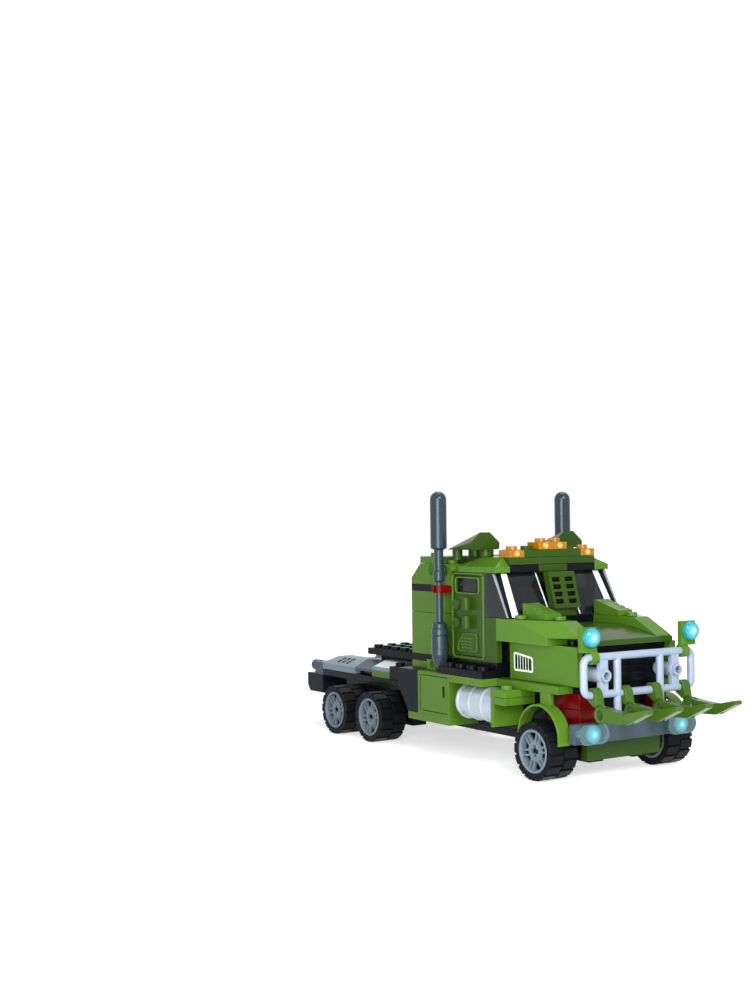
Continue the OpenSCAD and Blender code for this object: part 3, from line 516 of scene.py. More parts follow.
def halves(shape: Shape, axis: Axis, at: float, gap: float) -> list[Shape]:
    """Cuts a closed shape across an axis and closes both halves.

    Args:
        shape: The shape, which is used up.
        axis: Axis that the cut is square to.
        at: Place of the cut on that axis.
        gap: Room left between the halves.

    Returns:
        The bodies on both sides, or the shape itself where the cut misses it.
    """
    thinnest = 0.2
    low, high = reach(shape)
    if not low[axis.value] + thinnest < at < high[axis.value] - thinnest:
        return [shape]
    made = []
    for side in SIDES:
        half = shape.copy()
        place, normal = Vector(), Vector()
        place[axis.value] = at + side * gap / 2
        normal[axis.value] = 1.0
        bmesh.ops.bisect_plane(
            half, geom=[*half.verts, *half.edges, *half.faces], dist=CLOSE, plane_co=place,
            plane_no=normal, clear_outer=side < 0, clear_inner=side > 0,
        )
        rim = [e for e in half.edges if e.is_boundary]
        if rim:
            bmesh.ops.triangle_fill(half, use_beauty=True, edges=rim)
        bmesh.ops.remove_doubles(half, verts=half.verts, dist=CLOSE)
        bmesh.ops.recalc_face_normals(half, faces=half.faces)
        made.extend(loose_parts(half))
    shape.free()
    return made


def round_edges(shape: Shape, width: float) -> None:
    """Joins a shape's flat faces and rounds its sharp edges.

    Args:
        shape: The shape.
        width: Width of the rounding.
    """
    bmesh.ops.dissolve_limit(shape, angle_limit=FLAT, verts=shape.verts, edges=shape.edges)
    edges = [e for e in shape.edges if e.is_manifold and e.calc_face_angle(0.0) > SHARP]
    if edges:
        bmesh.ops.bevel(
            shape, geom=edges, offset=width, offset_type="OFFSET", segments=2, profile=0.5,
            affect="EDGES", clamp_overlap=True,
        )


def block(box: Box) -> Shape:
    """A box.

    Args:
        box: Its lowest and highest place in x, y and z.

    Returns:
        The closed box.
    """
    shape = bmesh.new()
    bmesh.ops.create_cube(shape, size=1.0)
    for vert in shape.verts:
        for i in range(3):
            vert.co[i] = box[2 * i] if vert.co[i] < 0 else box[2 * i + 1]
    return shape


def join_rings(shape: Shape, one: list[bmesh.types.BMVert], two: list[bmesh.types.BMVert]) -> None:
    """Makes the faces between two closed rings of as many points.

    Args:
        shape: Shape that gets the faces.
        one: Points of the first ring.
        two: Points of the second ring.
    """
    for i in range(len(one)):
        j = (i + 1) % len(one)
        shape.faces.new((one[i], one[j], two[j], two[i]))


def patch(low: Iterable[Point], high: Iterable[Point]) -> Shape:
    """A thin closed patch between two outlines of as many points.

    Args:
        low: Outline of the side that is sunk.
        high: Outline of the side that shows.

    Returns:
        The closed patch.
    """
    shape = bmesh.new()
    rings = [[shape.verts.new(place) for place in outline] for outline in (low, high)]
    join_rings(shape, *rings)
    for ring in rings:
        shape.faces.new(ring)
    bmesh.ops.recalc_face_normals(shape, faces=shape.faces)
    return shape


def plate(
    outline: Sequence[Pair], low: float, high: float, axis: Axis,
    holes: Iterable[Sequence[Pair]] = (),
) -> Shape:
    """A flat plate cut to an outline, with holes.

    Args:
        outline: Points of the outer edge, in the other two axes in order.
        low: Lower face on the axis.
        high: Upper face on the axis.
        axis: Axis square to the plate.
        holes: Outlines of its holes.

    Returns:
        The closed plate.
    """
    shape = bmesh.new()

    def point(pair: Pair, face: float) -> Vector:
        """A point of the plate.

        Args:
            pair: Its place in the other two axes.
            face: Its place on the plate's axis.

        Returns:
            The point.
        """
        places = list(pair)
        places.insert(axis.value, face)
        return Vector(places)

    rims: list[bmesh.types.BMEdge] = []
    walls = []
    for loop in (outline, *holes):
        rings = [[shape.verts.new(point(p, face)) for p in loop] for face in (low, high)]
        walls.append(rings)
        for ring in rings:
            rims.extend(shape.edges.new(ends) for ends in zip(ring, ring[1:] + ring[:1]))
    for face in (low, high):
        edges = [e for e in rims if abs(e.verts[0].co[axis.value] - face) < CLOSE]
        bmesh.ops.triangle_fill(shape, use_beauty=True, edges=edges)
    for rings in walls:
        join_rings(shape, *rings)
    bmesh.ops.recalc_face_normals(shape, faces=shape.faces)
    return shape


def lathe(
    profile: Sequence[Pair], place: Point, axis: Axis, steps: int = 48, way: int = 1
) -> Shape:
    """A turned shape.

    Args:
        profile: Distance along the axis and radius of each point; a loop where no radius is 0.
        place: Where the axis starts.
        axis: Axis that it is turned about.
        steps: Number of facets round it.
        way: 1 along the axis, -1 against it.

    Returns:
        The closed shape.
    """
    shape = bmesh.new()
    a, b = [i for i in range(3) if i != axis.value]
    rings = []
    for along, radius in profile:
        ring = []
        for k in range(steps if radius > CLOSE else 1):
            turn = 2 * math.pi * k / steps
            spot = Vector(place)
            spot[axis.value] += way * along
            spot[a] += radius * math.cos(turn)
            spot[b] += radius * math.sin(turn)
            ring.append(shape.verts.new(spot))
        rings.append(ring)
    closed = all(radius > CLOSE for _, radius in profile)
    pairs = list(zip(rings, rings[1:] + rings[:1]))
    for one, two in pairs if closed else pairs[:-1]:
        for k in range(steps):
            n = (k + 1) % steps
            corners = [one[k % len(one)], one[n % len(one)], two[n % len(two)], two[k % len(two)]]
            unique = list(dict.fromkeys(corners))
            if len(unique) > 2:
                shape.faces.new(unique)
    bmesh.ops.recalc_face_normals(shape, faces=shape.faces)
    return shape


def arc(middle: Pair, radius: float, start: float, end: float, steps: int = 5) -> list[Pair]:
    """Points on an arc, angles in degrees."""
    turns = [math.radians(start + (end - start) * i / steps) for i in range(steps + 1)]
    return [(middle[0] + radius * math.cos(t), middle[1] + radius * math.sin(t)) for t in turns]


def round_rect(x0: float, x1: float, z0: float, z1: float, radius: float) -> list[Pair]:
    """Outline of a rectangle with round corners.

    Args:
        x0: Left edge.
        x1: Right edge.
        z0: Lower edge.
        z1: Upper edge.
        radius: Radius of its corners.

    Returns:
        Points of the outline.
    """
    middles = ((x1 - radius, z1 - radius), (x0 + radius, z1 - radius),
               (x0 + radius, z0 + radius), (x1 - radius, z0 + radius))
    return [p for n, m in enumerate(middles) for p in arc(m, radius, 90 * n, 90 * (n + 1))]


def ridge(path: Sequence[Pair], width: float, y: float, height: float, closed: bool) -> Shape:
    """A raised line on a side face.

    Args:
        path: Points in x and z.
        width: Width of the line's foot.
        y: Place of the face, negative on the right-hand side.
        height: How far the line stands out of the face.
        closed: Whether the line's ends meet.

    Returns:
        The line as one closed body.
    """
    sunk, top = 0.1, 0.55  # how deep the foot goes, and the crest's share of the width
    shape = bmesh.new()
    side = math.copysign(1.0, y)
    count = len(path)
    sections = []
    for i, (x, z) in enumerate(path):
        back = path[i - 1] if closed or i else path[i]
        ahead = path[(i + 1) % count] if closed or i < count - 1 else path[i]
        run = Vector((ahead[0] - back[0], 0.0, ahead[1] - back[1])).normalized()
        across = Vector((-run.z, 0.0, run.x)) * width / 2
        spot = Vector((x, y, z))
        out = Vector((0.0, side * height, 0.0))
        into = Vector((0.0, -side * sunk, 0.0))
        corners = (across + into, across * top + out, -across * top + out, -across + into)
        sections.append([shape.verts.new(spot + corner) for corner in corners])
    pairs = list(zip(sections, sections[1:] + sections[:1]))
    for one, two in pairs if closed else pairs[:-1]:
        join_rings(shape, one, two)
    if not closed:
        shape.faces.new(sections[0])
        shape.faces.new(sections[-1])
    bmesh.ops.recalc_face_normals(shape, faces=shape.faces)
    return shape


def lens(place: Point, radius: float, depth: float) -> Shape:
    """A domed lens that faces forward, with a painted glow from rim to middle that stands for its
    highlight.

    Args:
        place: Middle of its rear face.
        radius: Radius of its rim.
        depth: Height of the dome.

    Returns:
        The closed lens, with a layer for its glow.
    """
    profile = [
        (0.0, 0.0), (0.0, radius - 0.25), (0.25, radius), (depth - 0.9, radius),
        (depth - 0.45, radius - 0.2), (depth - 0.45, radius - 0.9), (depth - 0.3, radius - 1.0),
        (depth - 0.15, radius * 0.62), (depth - 0.06, radius * 0.42), (depth, radius * 0.2),
        (depth, 0.0),
    ]
    shape = lathe(profile, place, Axis.X, 40)
    paint_glow(shape, place, radius)
    return shape


def glint_dome(place: Point, radius: float, depth: float) -> Shape:
    """A shallow dome with a painted glow on a lamp piece's front face, which stands for its
    highlight.

    Args:
        place: Middle of its rear face.
        radius: Radius of its rim.
        depth: Height of the dome.

    Returns:
        The closed dome, with a layer for its glow.
    """
    turns = [math.radians(90 * t / 8) for t in range(8)]
    dome = [(depth * math.sin(t), radius * math.cos(t)) for t in turns]
    shape = lathe([(0.0, 0.0), *dome, (depth, 0.0)], place, Axis.X, 40)
    paint_glow(shape, place, radius)
    return shape


def paint_glow(shape: Shape, place: Point, radius: float) -> None:
    """Paints the glow of a lamp piece's face, a painted highlight that is strongest in its middle
    and faint behind its rim.

    Args:
        shape: The lamp's face.
        place: Middle of its rear face.
        radius: Radius of its rim.
    """
    faint, fall = 0.15, 0.75
    layer = shape.verts.layers.float.new("glow")
    for vert in shape.verts:
        away = math.hypot(vert.co.y - place[1], vert.co.z - place[2]) / radius
        vert[layer] = max(0.0, 1.0 - fall * away) if vert.co.x > place[0] + 0.1 else faint


def mirrored(shape: Shape) -> Shape:
    """The same shape on the other side of the truck.

    Args:
        shape: The shape, which is kept.

    Returns:
        Its twin.
    """
    twin = shape.copy()
    for vert in twin.verts:
        vert.co.y = -vert.co.y
    bmesh.ops.reverse_faces(twin, faces=twin.faces)
    return twin


def put(name: str, data: bpy.types.ID) -> bpy.types.Object:
    """An object made of some data, in the scene.

    Args:
        name: Name of the object.
        data: Its mesh, lamp or camera.

    Returns:
        The object.
    """
    thing = bpy.data.objects.new(name, data)
    bpy.context.scene.collection.objects.link(thing)
    return thing


def worked_out(thing: bpy.types.Object) -> bpy.types.Mesh:
    """A plain mesh of an object with its modifiers applied.

    Args:
        thing: The object.

    Returns:
        The mesh.
    """
    bpy.context.view_layer.update()
    seen = thing.evaluated_get(bpy.context.evaluated_depsgraph_get())
    return bpy.data.meshes.new_from_object(seen)


# ---------- geometry node trees ----------


class ArrayTree(NodeGroup):
    """A geometry node tree that repeats a block, in a row or round a ring."""

    tree_kind = "GeometryNodeTree"
    socket_kinds = {
        int: "NodeSocketInt",
        float: "NodeSocketFloat",
        tuple: "NodeSocketVector",
        type(None): "NodeSocketMaterial",
    }

    def __init__(self, name: str, inputs: dict[str, object]) -> None:
        """Makes the tree's sockets, one of them for the material."""
        super().__init__(name, {**inputs, "Material": None}, {"Geometry": "NodeSocketGeometry"})

    def moved(self, geometry: Socket, **inputs: object) -> Socket:
        """Adds a transform and gives its result."""
        return self.node("GeometryNodeTransform", {"Geometry": geometry, **inputs}).outputs[0]

    def cubes(self, points: Socket, **inputs: object) -> Socket:
        """Adds a block on each point, with the tree's offset where it has one.

        Args:
            points: Points that get a block.
            inputs: How the blocks are set, by name.

        Returns:
            All the blocks.
        """
        cube = self.node("GeometryNodeMeshCube", {"Size": self.source["Size"]}).outputs["Mesh"]
        if "Offset" in self.identifiers:
            cube = self.moved(cube, Translation=self.source["Offset"])
        placed = {"Points": points, "Instance": cube, **inputs}
        return self.node("GeometryNodeInstanceOnPoints", placed).outputs[0]

    def close(self, geometry: Socket) -> None:
        """Ends the tree in real meshes with the chosen material.

        Args:
            geometry: What the tree has made.
        """
        real = self.node("GeometryNodeRealizeInstances", {0: geometry})
        inputs = {"Geometry": real.outputs[0], "Material": self.source["Material"]}
        paint = self.node("GeometryNodeSetMaterial", inputs)
        fill(self.tree, self.sink, {0: paint.outputs[0]})

    def grow(self, finish: Finish, edge: float = 0.1, **values: object) -> Shape:
        """Runs the tree.

        Args:
            finish: Finish of what it makes.
            edge: Width of the rounding on the blocks' edges.
            values: Values of its inputs by name.

        Returns:
            The result as a shape, in the truck's measure.
        """
        carrier = put("array", bpy.data.meshes.new("array"))
        modifier = carrier.modifiers.new("array", "NODES")
        modifier.node_group = self.tree
        modifier[self.identifiers["Material"]] = SHELF.material(finish)
        for label, value in values.items():
            modifier[self.identifiers[label]] = value
        if edge:
            rounding = carrier.modifiers.new("edges", "BEVEL")
            rounding.width = edge
            rounding.segments = 2
            rounding.limit_method = "ANGLE"
        mesh = worked_out(carrier)
        shape = bmesh.new()
        shape.from_mesh(mesh)
        bpy.data.objects.remove(carrier)
        bpy.data.meshes.remove(mesh)
        return shape


class RingTree(ArrayTree):
    """Blocks round the Y axis: tread lugs and spokes."""

    def __init__(self) -> None:
        """Builds the tree: a block on each point of a ring, turned outwards and stood up."""
        none, unit = (0.0, 0.0, 0.0), (1.0, 1.0, 1.0)
        places = {"Size": unit, "Offset": none, "Phase": 0.0, "Centre": none}
        super().__init__("blocks_round_ring", {"Count": 6, "Radius": 5.0, **places})
        source = self.source
        size = {"Vertices": source["Count"], "Radius": source["Radius"]}
        ring = self.node("GeometryNodeMeshCircle", size)
        where = self.node("GeometryNodeInputPosition").outputs[0]
        aim = self.node("FunctionNodeAlignRotationToVector", {"Vector": where}, axis="X")
        spread = self.cubes(ring.outputs["Mesh"], Rotation=aim.outputs[0])
        spin = self.node("ShaderNodeCombineXYZ", {"Z": source["Phase"]}).outputs[0]
        turned = self.moved(spread, Rotation=spin)
        stand = (math.pi / 2, 0.0, 0.0)
        self.close(self.moved(turned, Rotation=stand, Translation=source["Centre"]))


class RowTree(ArrayTree):
    """Blocks in a row: the painted shade inside slots."""

    def __init__(self) -> None:
        """Builds the tree: a block on each point of a line."""
        none, unit = (0.0, 0.0, 0.0), (1.0, 1.0, 1.0)
        super().__init__("blocks_in_row", {"Count": 4, "Start": none, "Step": unit, "Size": unit})
        source = self.source
        line = self.node(
            "GeometryNodeMeshLine",
            {"Count": source["Count"], "Start Location": source["Start"], "Offset": source["Step"]},
            mode="OFFSET",
        )
        self.close(self.cubes(line.outputs[0]))


RING = RingTree()
ROW = RowTree()


# ---------- pieces ----------


class Piece:
    """A mesh that grows from shapes, then rides on a body."""

    def __init__(self, name: str, finishes: Sequence[Finish]) -> None:
        """Starts an empty piece.

        Args:
            name: Name of the piece.
            finishes: Finishes that its shapes may take.
        """
        self.name = name
        self.finishes = list(finishes)
        self.shape = bmesh.new()
        self.shape.verts.layers.float.new("brick_tone")
        self.shape.verts.layers.float.new("glow")

    def add(self, shape: Shape, finish: Finish | None = None, tone: float | None = None) -> None:
        """Adds a shape, which is used up.

        Args:
            shape: The shape.
            finish: Its finish, the piece's first where none is given.
            tone: How much lighter than its finish it is, drawn at random where none is given.
        """
        index = self.finishes.index(finish) if finish else 0
        shade = TONES.uniform(-1.0, 1.0) if tone is None else tone
        floats = shape.verts.layers.float
        layer = floats.get("brick_tone") or floats.new("brick_tone")
        for vert in shape.verts:
            vert[layer] = shade
        for face in shape.faces:
            face.material_index = index
            face.smooth = True
        mesh = bpy.data.meshes.new("part")
        shape.to_mesh(mesh)
        shape.free()
        self.shape.from_mesh(mesh)
        bpy.data.meshes.remove(mesh)

    def place(self, body: str, slot: str, replaced: Sequence[str] = ()) -> bpy.types.Object:
        """Writes the piece in the frame's place.

        Args:
            body: Body that it rides on.
            slot: The record's material slot; not used.
            replaced: CAD nodes that it stands for.

        Returns:
            The finished object.
        """
        grow = Matrix.Scale(MM, 4) @ Matrix.Translation((SHIFT, 0, 0))
        bmesh.ops.transform(self.shape, matrix=grow, verts=self.shape.verts)
        mesh = bpy.data.meshes.new(self.name)
        self.shape.to_mesh(mesh)
        self.shape.free()
        for finish in self.finishes:
            mesh.materials.append(SHELF.material(finish))
        piece = put(self.name, mesh)
        weigh = piece.modifiers.new("weigh", "WEIGHTED_NORMAL")
        weigh.keep_sharp = True
        weigh.weight = 100
        solid = worked_out(piece)
        piece.modifiers.clear()
        piece.data = solid
        solid.name = self.name
        bpy.data.meshes.remove(mesh)
        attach(piece, body)
        if replaced:
            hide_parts(*replaced)
        LOG.info("%s: %d faces on %s", self.name, len(solid.polygons), body)
        return piece


def truck_piece(name: str, slot: str, shapes: Sequence[Dressed]) -> None:
    """Builds a piece on the truck's own body, from shapes that all keep their finish's tone.

    Args:
        name: Name of the piece.
        slot: The record's material slot.
        shapes: Its shapes and their finishes.
    """
    piece = Piece(name, list(dict.fromkeys(finish for _, finish in shapes)))
    for shape, finish in shapes:
        piece.add(shape, finish, tone=0.0)
    piece.place("truck", slot)


@dataclass(frozen=True)
class Cut:
    """A joint between two bricks."""

    axis: Axis
    at: float
    inside: Box | None = None
    gap: float = 0.12


def upright(*studs: float, inside: Box | None = None) -> list[Cut]:
    """Joints square to the truck's length, at places counted in studs."""
    return [Cut(Axis.X, px(n), inside) for n in studs]


def level(*plates: float, inside: Box | None = None) -> list[Cut]:
    """Level joints, at heights counted in plates."""
    return [Cut(Axis.Z, lv(n), inside) for n in plates]


@dataclass(frozen=True)
class Paint:
    """A finish for the bricks in a region, or their removal where there is none."""

    inside: Box
    finish: Finish | None


@dataclass
class Moulding:
    """A CAD node made again as separate bricks with joints between them and round edges."""

    node: str
    cuts: Sequence[Cut] = ()
    paints: Sequence[Paint] = ()
    edge: float = 0.16
    finish: Finish | None = None

    def body(self) -> str:
        """Name of the body that the node rides on."""
        bodies = frame["record"]["behaviour"]["bodies"]
        return next(body for body, nodes in bodies.items() if self.node in nodes)

    def slot(self) -> str:
        """The record's material slot of the node."""
        parts = frame["record"]["subparts"]
        return next(p["material_slot"] for p in parts if p["node"] == self.node)

    def bricks(self) -> list[Shape]:
        """The node's bricks, before their edges are rounded.

        Returns:
            The bricks, parted at their joints.
        """
        shape = bmesh.new()
        shape.from_mesh(frame["nodes"][self.node].data)
        to_truck = Matrix.Translation((-SHIFT, 0, 0)) @ Matrix.Scale(1 / MM, 4)
        bmesh.ops.transform(shape, matrix=to_truck, verts=shape.verts)
        bmesh.ops.remove_doubles(shape, verts=shape.verts, dist=2e-3)
        parts = loose_parts(shape)
        for cut in self.cuts:
            after: list[Shape] = []
            for part in parts:
                if holds(cut.inside, part):
                    after.extend(halves(part, cut.axis, cut.at, cut.gap))
                else:
                    after.append(part)
            parts = after
        return parts

    def build(self, extras: Sequence[Dressed] = ()) -> bpy.types.Object:
        """Builds the piece that stands for the node.

        Args:
            extras: More shapes and their finishes.

        Returns:
            The finished object.
        """
        main = self.finish or SLOT_FINISH[self.slot()]
        others = [*(paint.finish for paint in self.paints), *(finish for _, finish in extras)]
        finishes = list(dict.fromkeys([main, *(finish for finish in others if finish)]))
        piece = Piece(self.node + "_moulded", finishes)
        for brick in self.bricks():
            paint = next((p for p in self.paints if holds(p.inside, brick)), None)
            if paint and paint.finish is None:
                brick.free()
                continue
            round_edges(brick, self.edge)
            piece.add(brick, paint.finish if paint else main)
        for shape, finish in extras:
            piece.add(shape, finish)
        return piece.place(self.body(), self.slot(), [self.node])


# ---------- sub-assemblies ----------


@dataclass
class Wheels:
    """Three wheel sets: treaded tyres on spoked rims, on axles with a cross section."""

    tyre_r: float = 12.0
    tyre_w: float = 14.0
    tyre_in: float = 25.0
    rim_r: float = 9.0
    hub_r: float = 3.5
    tread: float = 0.9
    lugs: int = 15
    lug_depth: float = 1.36
    lug_share: float = 0.78
    lug_sink: float = 0.84
    row_gap: float = 0.18
    rib: Pair = (0.6, 1.1)
    rib_in: float = 1.2
    spokes: int = 6
    spoke_gap: float = 1.05
    spoke: Pair = (0.82, 1.5)
    spoke_turn: float = 12.0
    rod_in: float = 2.4
    facets: int = 72
    places: dict[str, float] = field(
        default_factory=lambda: {"front": 0.0, "mid": -124.0, "rear": -156.0}
    )

    def tyre(self, piece: Piece, x: float, side: int) -> None:
        """Adds one tyre with two staggered rows of lugs and a closed row of ribs under them.

        Args:
            piece: Piece that gets the tyre.
            x: Place of the axle.
            side: -1 on the right-hand side, 1 on the left.
        """
        base = self.tyre_r - self.tread
        inner = self.rim_r + 0.05
        w = self.tyre_w
        wall = [
            (0.25, inner), (0.0, inner + 0.2), (0.0, 9.9), (0.3, 10.0), (0.3, 10.35),
            (0.05, 10.5), (0.1, 10.8), (0.7, base),
        ]
        profile = wall + [(w - along, radius) for along, radius in reversed(wall)]
        centre = (x, side * self.tyre_in, self.tyre_r)
        piece.add(lathe(profile, centre, Axis.Y, self.facets, side), tone=0.0)
        step = 2 * math.pi / self.lugs
        lug = (self.lug_depth, step * self.tyre_r * self.lug_share, w / 2 - 0.35)
        for row in (0, 1):
            y = side * (self.tyre_in + (0.5 + row) * w / 2 + (row - 0.5) * self.row_gap)
            lugs = RING.grow(
                RUBBER, 0.22, Count=self.lugs, Radius=self.tyre_r - self.lug_sink, Size=lug,
                Phase=row * step / 2, Centre=(x, y, self.tyre_r),
            )
            piece.add(lugs, tone=0.3)
        middle = (x, side * (self.tyre_in + w / 2), self.tyre_r)
        ribs = RING.grow(
            RUBBER, 0.1, Count=self.lugs * 2, Radius=base - 0.05, Phase=step / 4, Centre=middle,
            Size=(*self.rib, w - 2 * self.rib_in),
        )
        piece.add(ribs, tone=-0.5)

    def rim(self, piece: Piece, x: float, side: int) -> None:
        """Adds one rim: barrel with a rolled lip, web painted black as shade, hub ring and paired
        spokes.

        Args:
            piece: Piece that gets the rim.
            x: Place of the axle.
            side: -1 on the right-hand side, 1 on the left.
        """
        w = self.tyre_w
        centre = (x, side * self.tyre_in, self.tyre_r)
        barrel = [
            (0.0, 7.9), (0.0, 8.8), (0.2, self.rim_r), (w - 0.5, self.rim_r), (w - 0.15, 8.85),
            (w, 8.6), (w, 8.2), (w - 0.15, 7.95), (w - 0.5, 7.7), (w - 3.4, 7.6), (w - 3.8, 7.8),
            (0.3, 7.8),
        ]
        piece.add(lathe(barrel, centre, Axis.Y, self.facets, side), tone=0.2)
        web = [(w - 4.6, 2.6), (w - 4.6, 7.9), (w - 3.9, 7.9), (w - 3.2, 7.5), (w - 3.2, 2.6)]
        # The web sits deep behind the spokes; it is black as painted shade.
        piece.add(lathe(web, centre, Axis.Y, 48, side), BLACK, tone=0.0)
        low, high = sorted(side * (self.tyre_in + a) for a in (0.6, w - 1.2))
        ring = arc((x, self.tyre_r), self.hub_r, 0, 350, 35)
        hub = plate(ring, low, high, Axis.Y, [self.cross(x, 2.36, 0.92)])
        round_edges(hub, 0.12)
        piece.add(hub, tone=0.4)
        collar = [(w - 2.2, 3.4), (w - 2.2, 4.2), (w - 1.9, 4.3), (w - 1.5, 4.2), (w - 1.4, 3.4)]
        piece.add(lathe(collar, centre, Axis.Y, 48, side), tone=0.4)
        length = self.rim_r - 1.1 - self.hub_r
        outside = (x, side * (self.tyre_in + w - 2.0), self.tyre_r)
        for gap in (-self.spoke_gap, self.spoke_gap):
            spokes = RING.grow(
                RIM_GREY, 0.14, Count=self.spokes, Radius=self.hub_r + length / 2,
                Size=(length + 0.6, *self.spoke), Offset=(0.0, gap, 0.0), Centre=outside,
                Phase=math.radians(self.spoke_turn),
            )
            piece.add(spokes, tone=0.3)

    def cross(self, x: float, long: float, short: float) -> list[Pair]:
        """Outline of the cross that the axle has in section.

        Args:
            x: Place of the axle.
            long: Reach of each arm from the middle.
            short: Half the width of an arm.

        Returns:
            Points of the outline in x and z.
        """
        corner = [(long, -short), (long, short), (short, short)]
        turned = []
        for c, s in ((1, 0), (0, 1), (-1, 0), (0, -1)):
            turned.extend((x + a * c - b * s, self.tyre_r + a * s + b * c) for a, b in corner)
        return turned

    def build(self) -> None:
        """Builds the tyres, rims and axle of each wheel set."""
        for name, x in self.places.items():
            tyres = Piece(f"{name}_tyres_treaded", [RUBBER])
            rims = Piece(f"{name}_rims_spoked", [RIM_GREY, BLACK])
            for side in SIDES:
                self.tyre(tyres, x, side)
                self.rim(rims, x, side)
            tyres.place(f"{name}_axle", "tyre", [f"{name}_tyres"])
            rims.place(f"{name}_axle", "grey_rim", [f"{name}_wheels"])
            end = self.tyre_in + self.tyre_w - self.rod_in
            axle = Piece(f"{name}_axle_cross", [BLACK])
            rod = plate(self.cross(x, 2.3, 0.86), -end, end, Axis.Y)
            round_edges(rod, 0.1)
            axle.add(rod, tone=0.0)
            axle.place(f"{name}_axle", "black_brick")


@dataclass
class Chassis:
    """Frame, axle bricks, nose block and mud guards, with their joints in studs and plates."""

    axle_joint: float = -17.5
    plate_joints: Pair = (-14, -2)
    brick_joints: tuple[float, ...] = (-14, -12, -8, -4, -1)
    brick_layers: Pair = (7, 5)
    nose_layers: Pair = (3, 4)

    def build(self) -> None:
        """Builds the chassis."""
        Moulding("axle_bricks", upright(self.axle_joint)).build()
        Moulding("frame_plate", [*upright(*self.plate_joints), *level(3)]).build()
        joints = [*upright(*self.brick_joints), *level(*self.brick_layers)]
        Moulding("frame_bricks", joints).build()
        Moulding("nose_block", level(*self.nose_layers)).build()
        Moulding("mud_guards").build()


@dataclass
class RearDeck:
    """Deck plates, grey slopes with slots and a label, and the coupling plate."""

    label_x: Pair = (px(-18) + 1.1, px(-16) - 1.1)
    label_y: Pair = (px(2) + 0.9, px(3) - 0.9)
    slot_step: float = 4.4
    slot_half: float = 0.85
    slot_y: tuple[Pair, Pair] = ((16.7, 18.7), (19.4, 21.6))
    fall: float = PLATE / PITCH
    lip_z: float = lv(8) - 1.2

    def on_slope(self, outline: Sequence[Pair], ridge_z: float, side: int) -> Shape:
        """A thin patch on a deck slope.

        Args:
            outline: Its outline in x and |y|.
            ridge_z: Height of the slope's upper edge.
            side: -1 on the right-hand side, 1 on the left.

        Returns:
            The closed patch.
        """
        normal = Vector((0.0, self.fall, 1.0)).normalized() * 0.12
        layers = []
        for lift in (-0.3, 1.0):
            flat = [Vector((x, y, ridge_z - self.fall * (y - px(2)))) for x, y in outline]
            spots = [spot + normal * lift for spot in flat]
            layers.append([(spot.x, side * spot.y, spot.z) for spot in spots])
        return patch(*layers)

    def labels(self) -> None:
        """Blank labels on the front deck slopes."""
        outline = round_rect(*self.label_x, *self.label_y, 0.7)
        ridge_z = lv(9) + 1.5
        shapes = [(self.on_slope(outline, ridge_z, side), LABEL_WHITE) for side in SIDES]
        truck_piece("deck_labels", "pale_plastic", shapes)

    def slots(self) -> None:
        """Black patches on the rear slopes that paint the shade in their slots, each in two
        lengths.
        """
        shapes = []
        for side in SIDES:
            for n in (-1, 0, 1):
                x = px(-22) + n * self.slot_step
                x0, x1 = x - self.slot_half, x + self.slot_half
                for y0, y1 in self.slot_y:
                    outline = [(x0, y0), (x1, y0), (x1, y1), (x0, y1)]
                    shapes.append((self.on_slope(outline, lv(9), side), BLACK_PRINT_AND_PAINTED_SHADE))
        truck_piece("deck_slot_painted_shade", "black_brick", shapes)

    def build(self) -> None:
        """Builds the rear deck."""
        green_deck = slab((px(-18), px(-16)), (lv(7), lv(8)))
        green_ears = slab((px(-12), px(-8)), (lv(10), lv(13)))
        high = slab((px(-24), px(-12)), (lv(7), lv(11)))
        Moulding(
            "deck_plates",
            [
                *level(7), *upright(-16, -14, inside=high), *level(9, inside=high),
                *upright(-24, -18, -20),
            ],
            [Paint(green_deck, GREEN), Paint(green_ears, GREEN)],
        ).build()
        lipped = (px(-20), px(-18))
        Moulding(
            "deck_slopes",
            [*upright(-24, -20, -18), Cut(Axis.Z, self.lip_z, slab(lipped, (0.0, WIDE)))],
            [
                # Black below the lip of the middle slopes is painted shade in the recess under it.
                Paint(slab(lipped, (0.0, self.lip_z)), BLACK),
                Paint(slab((px(-24), px(-20)), (0.0, WIDE)), LIGHT_GREY),
                Paint(slab((px(-18), px(-16)), (0.0, WIDE)), LIGHT_GREY),
            ],
        ).build()
        Moulding("coupling_plate", [*level(10), *upright(-20)]).build()
        self.labels()
        self.slots()


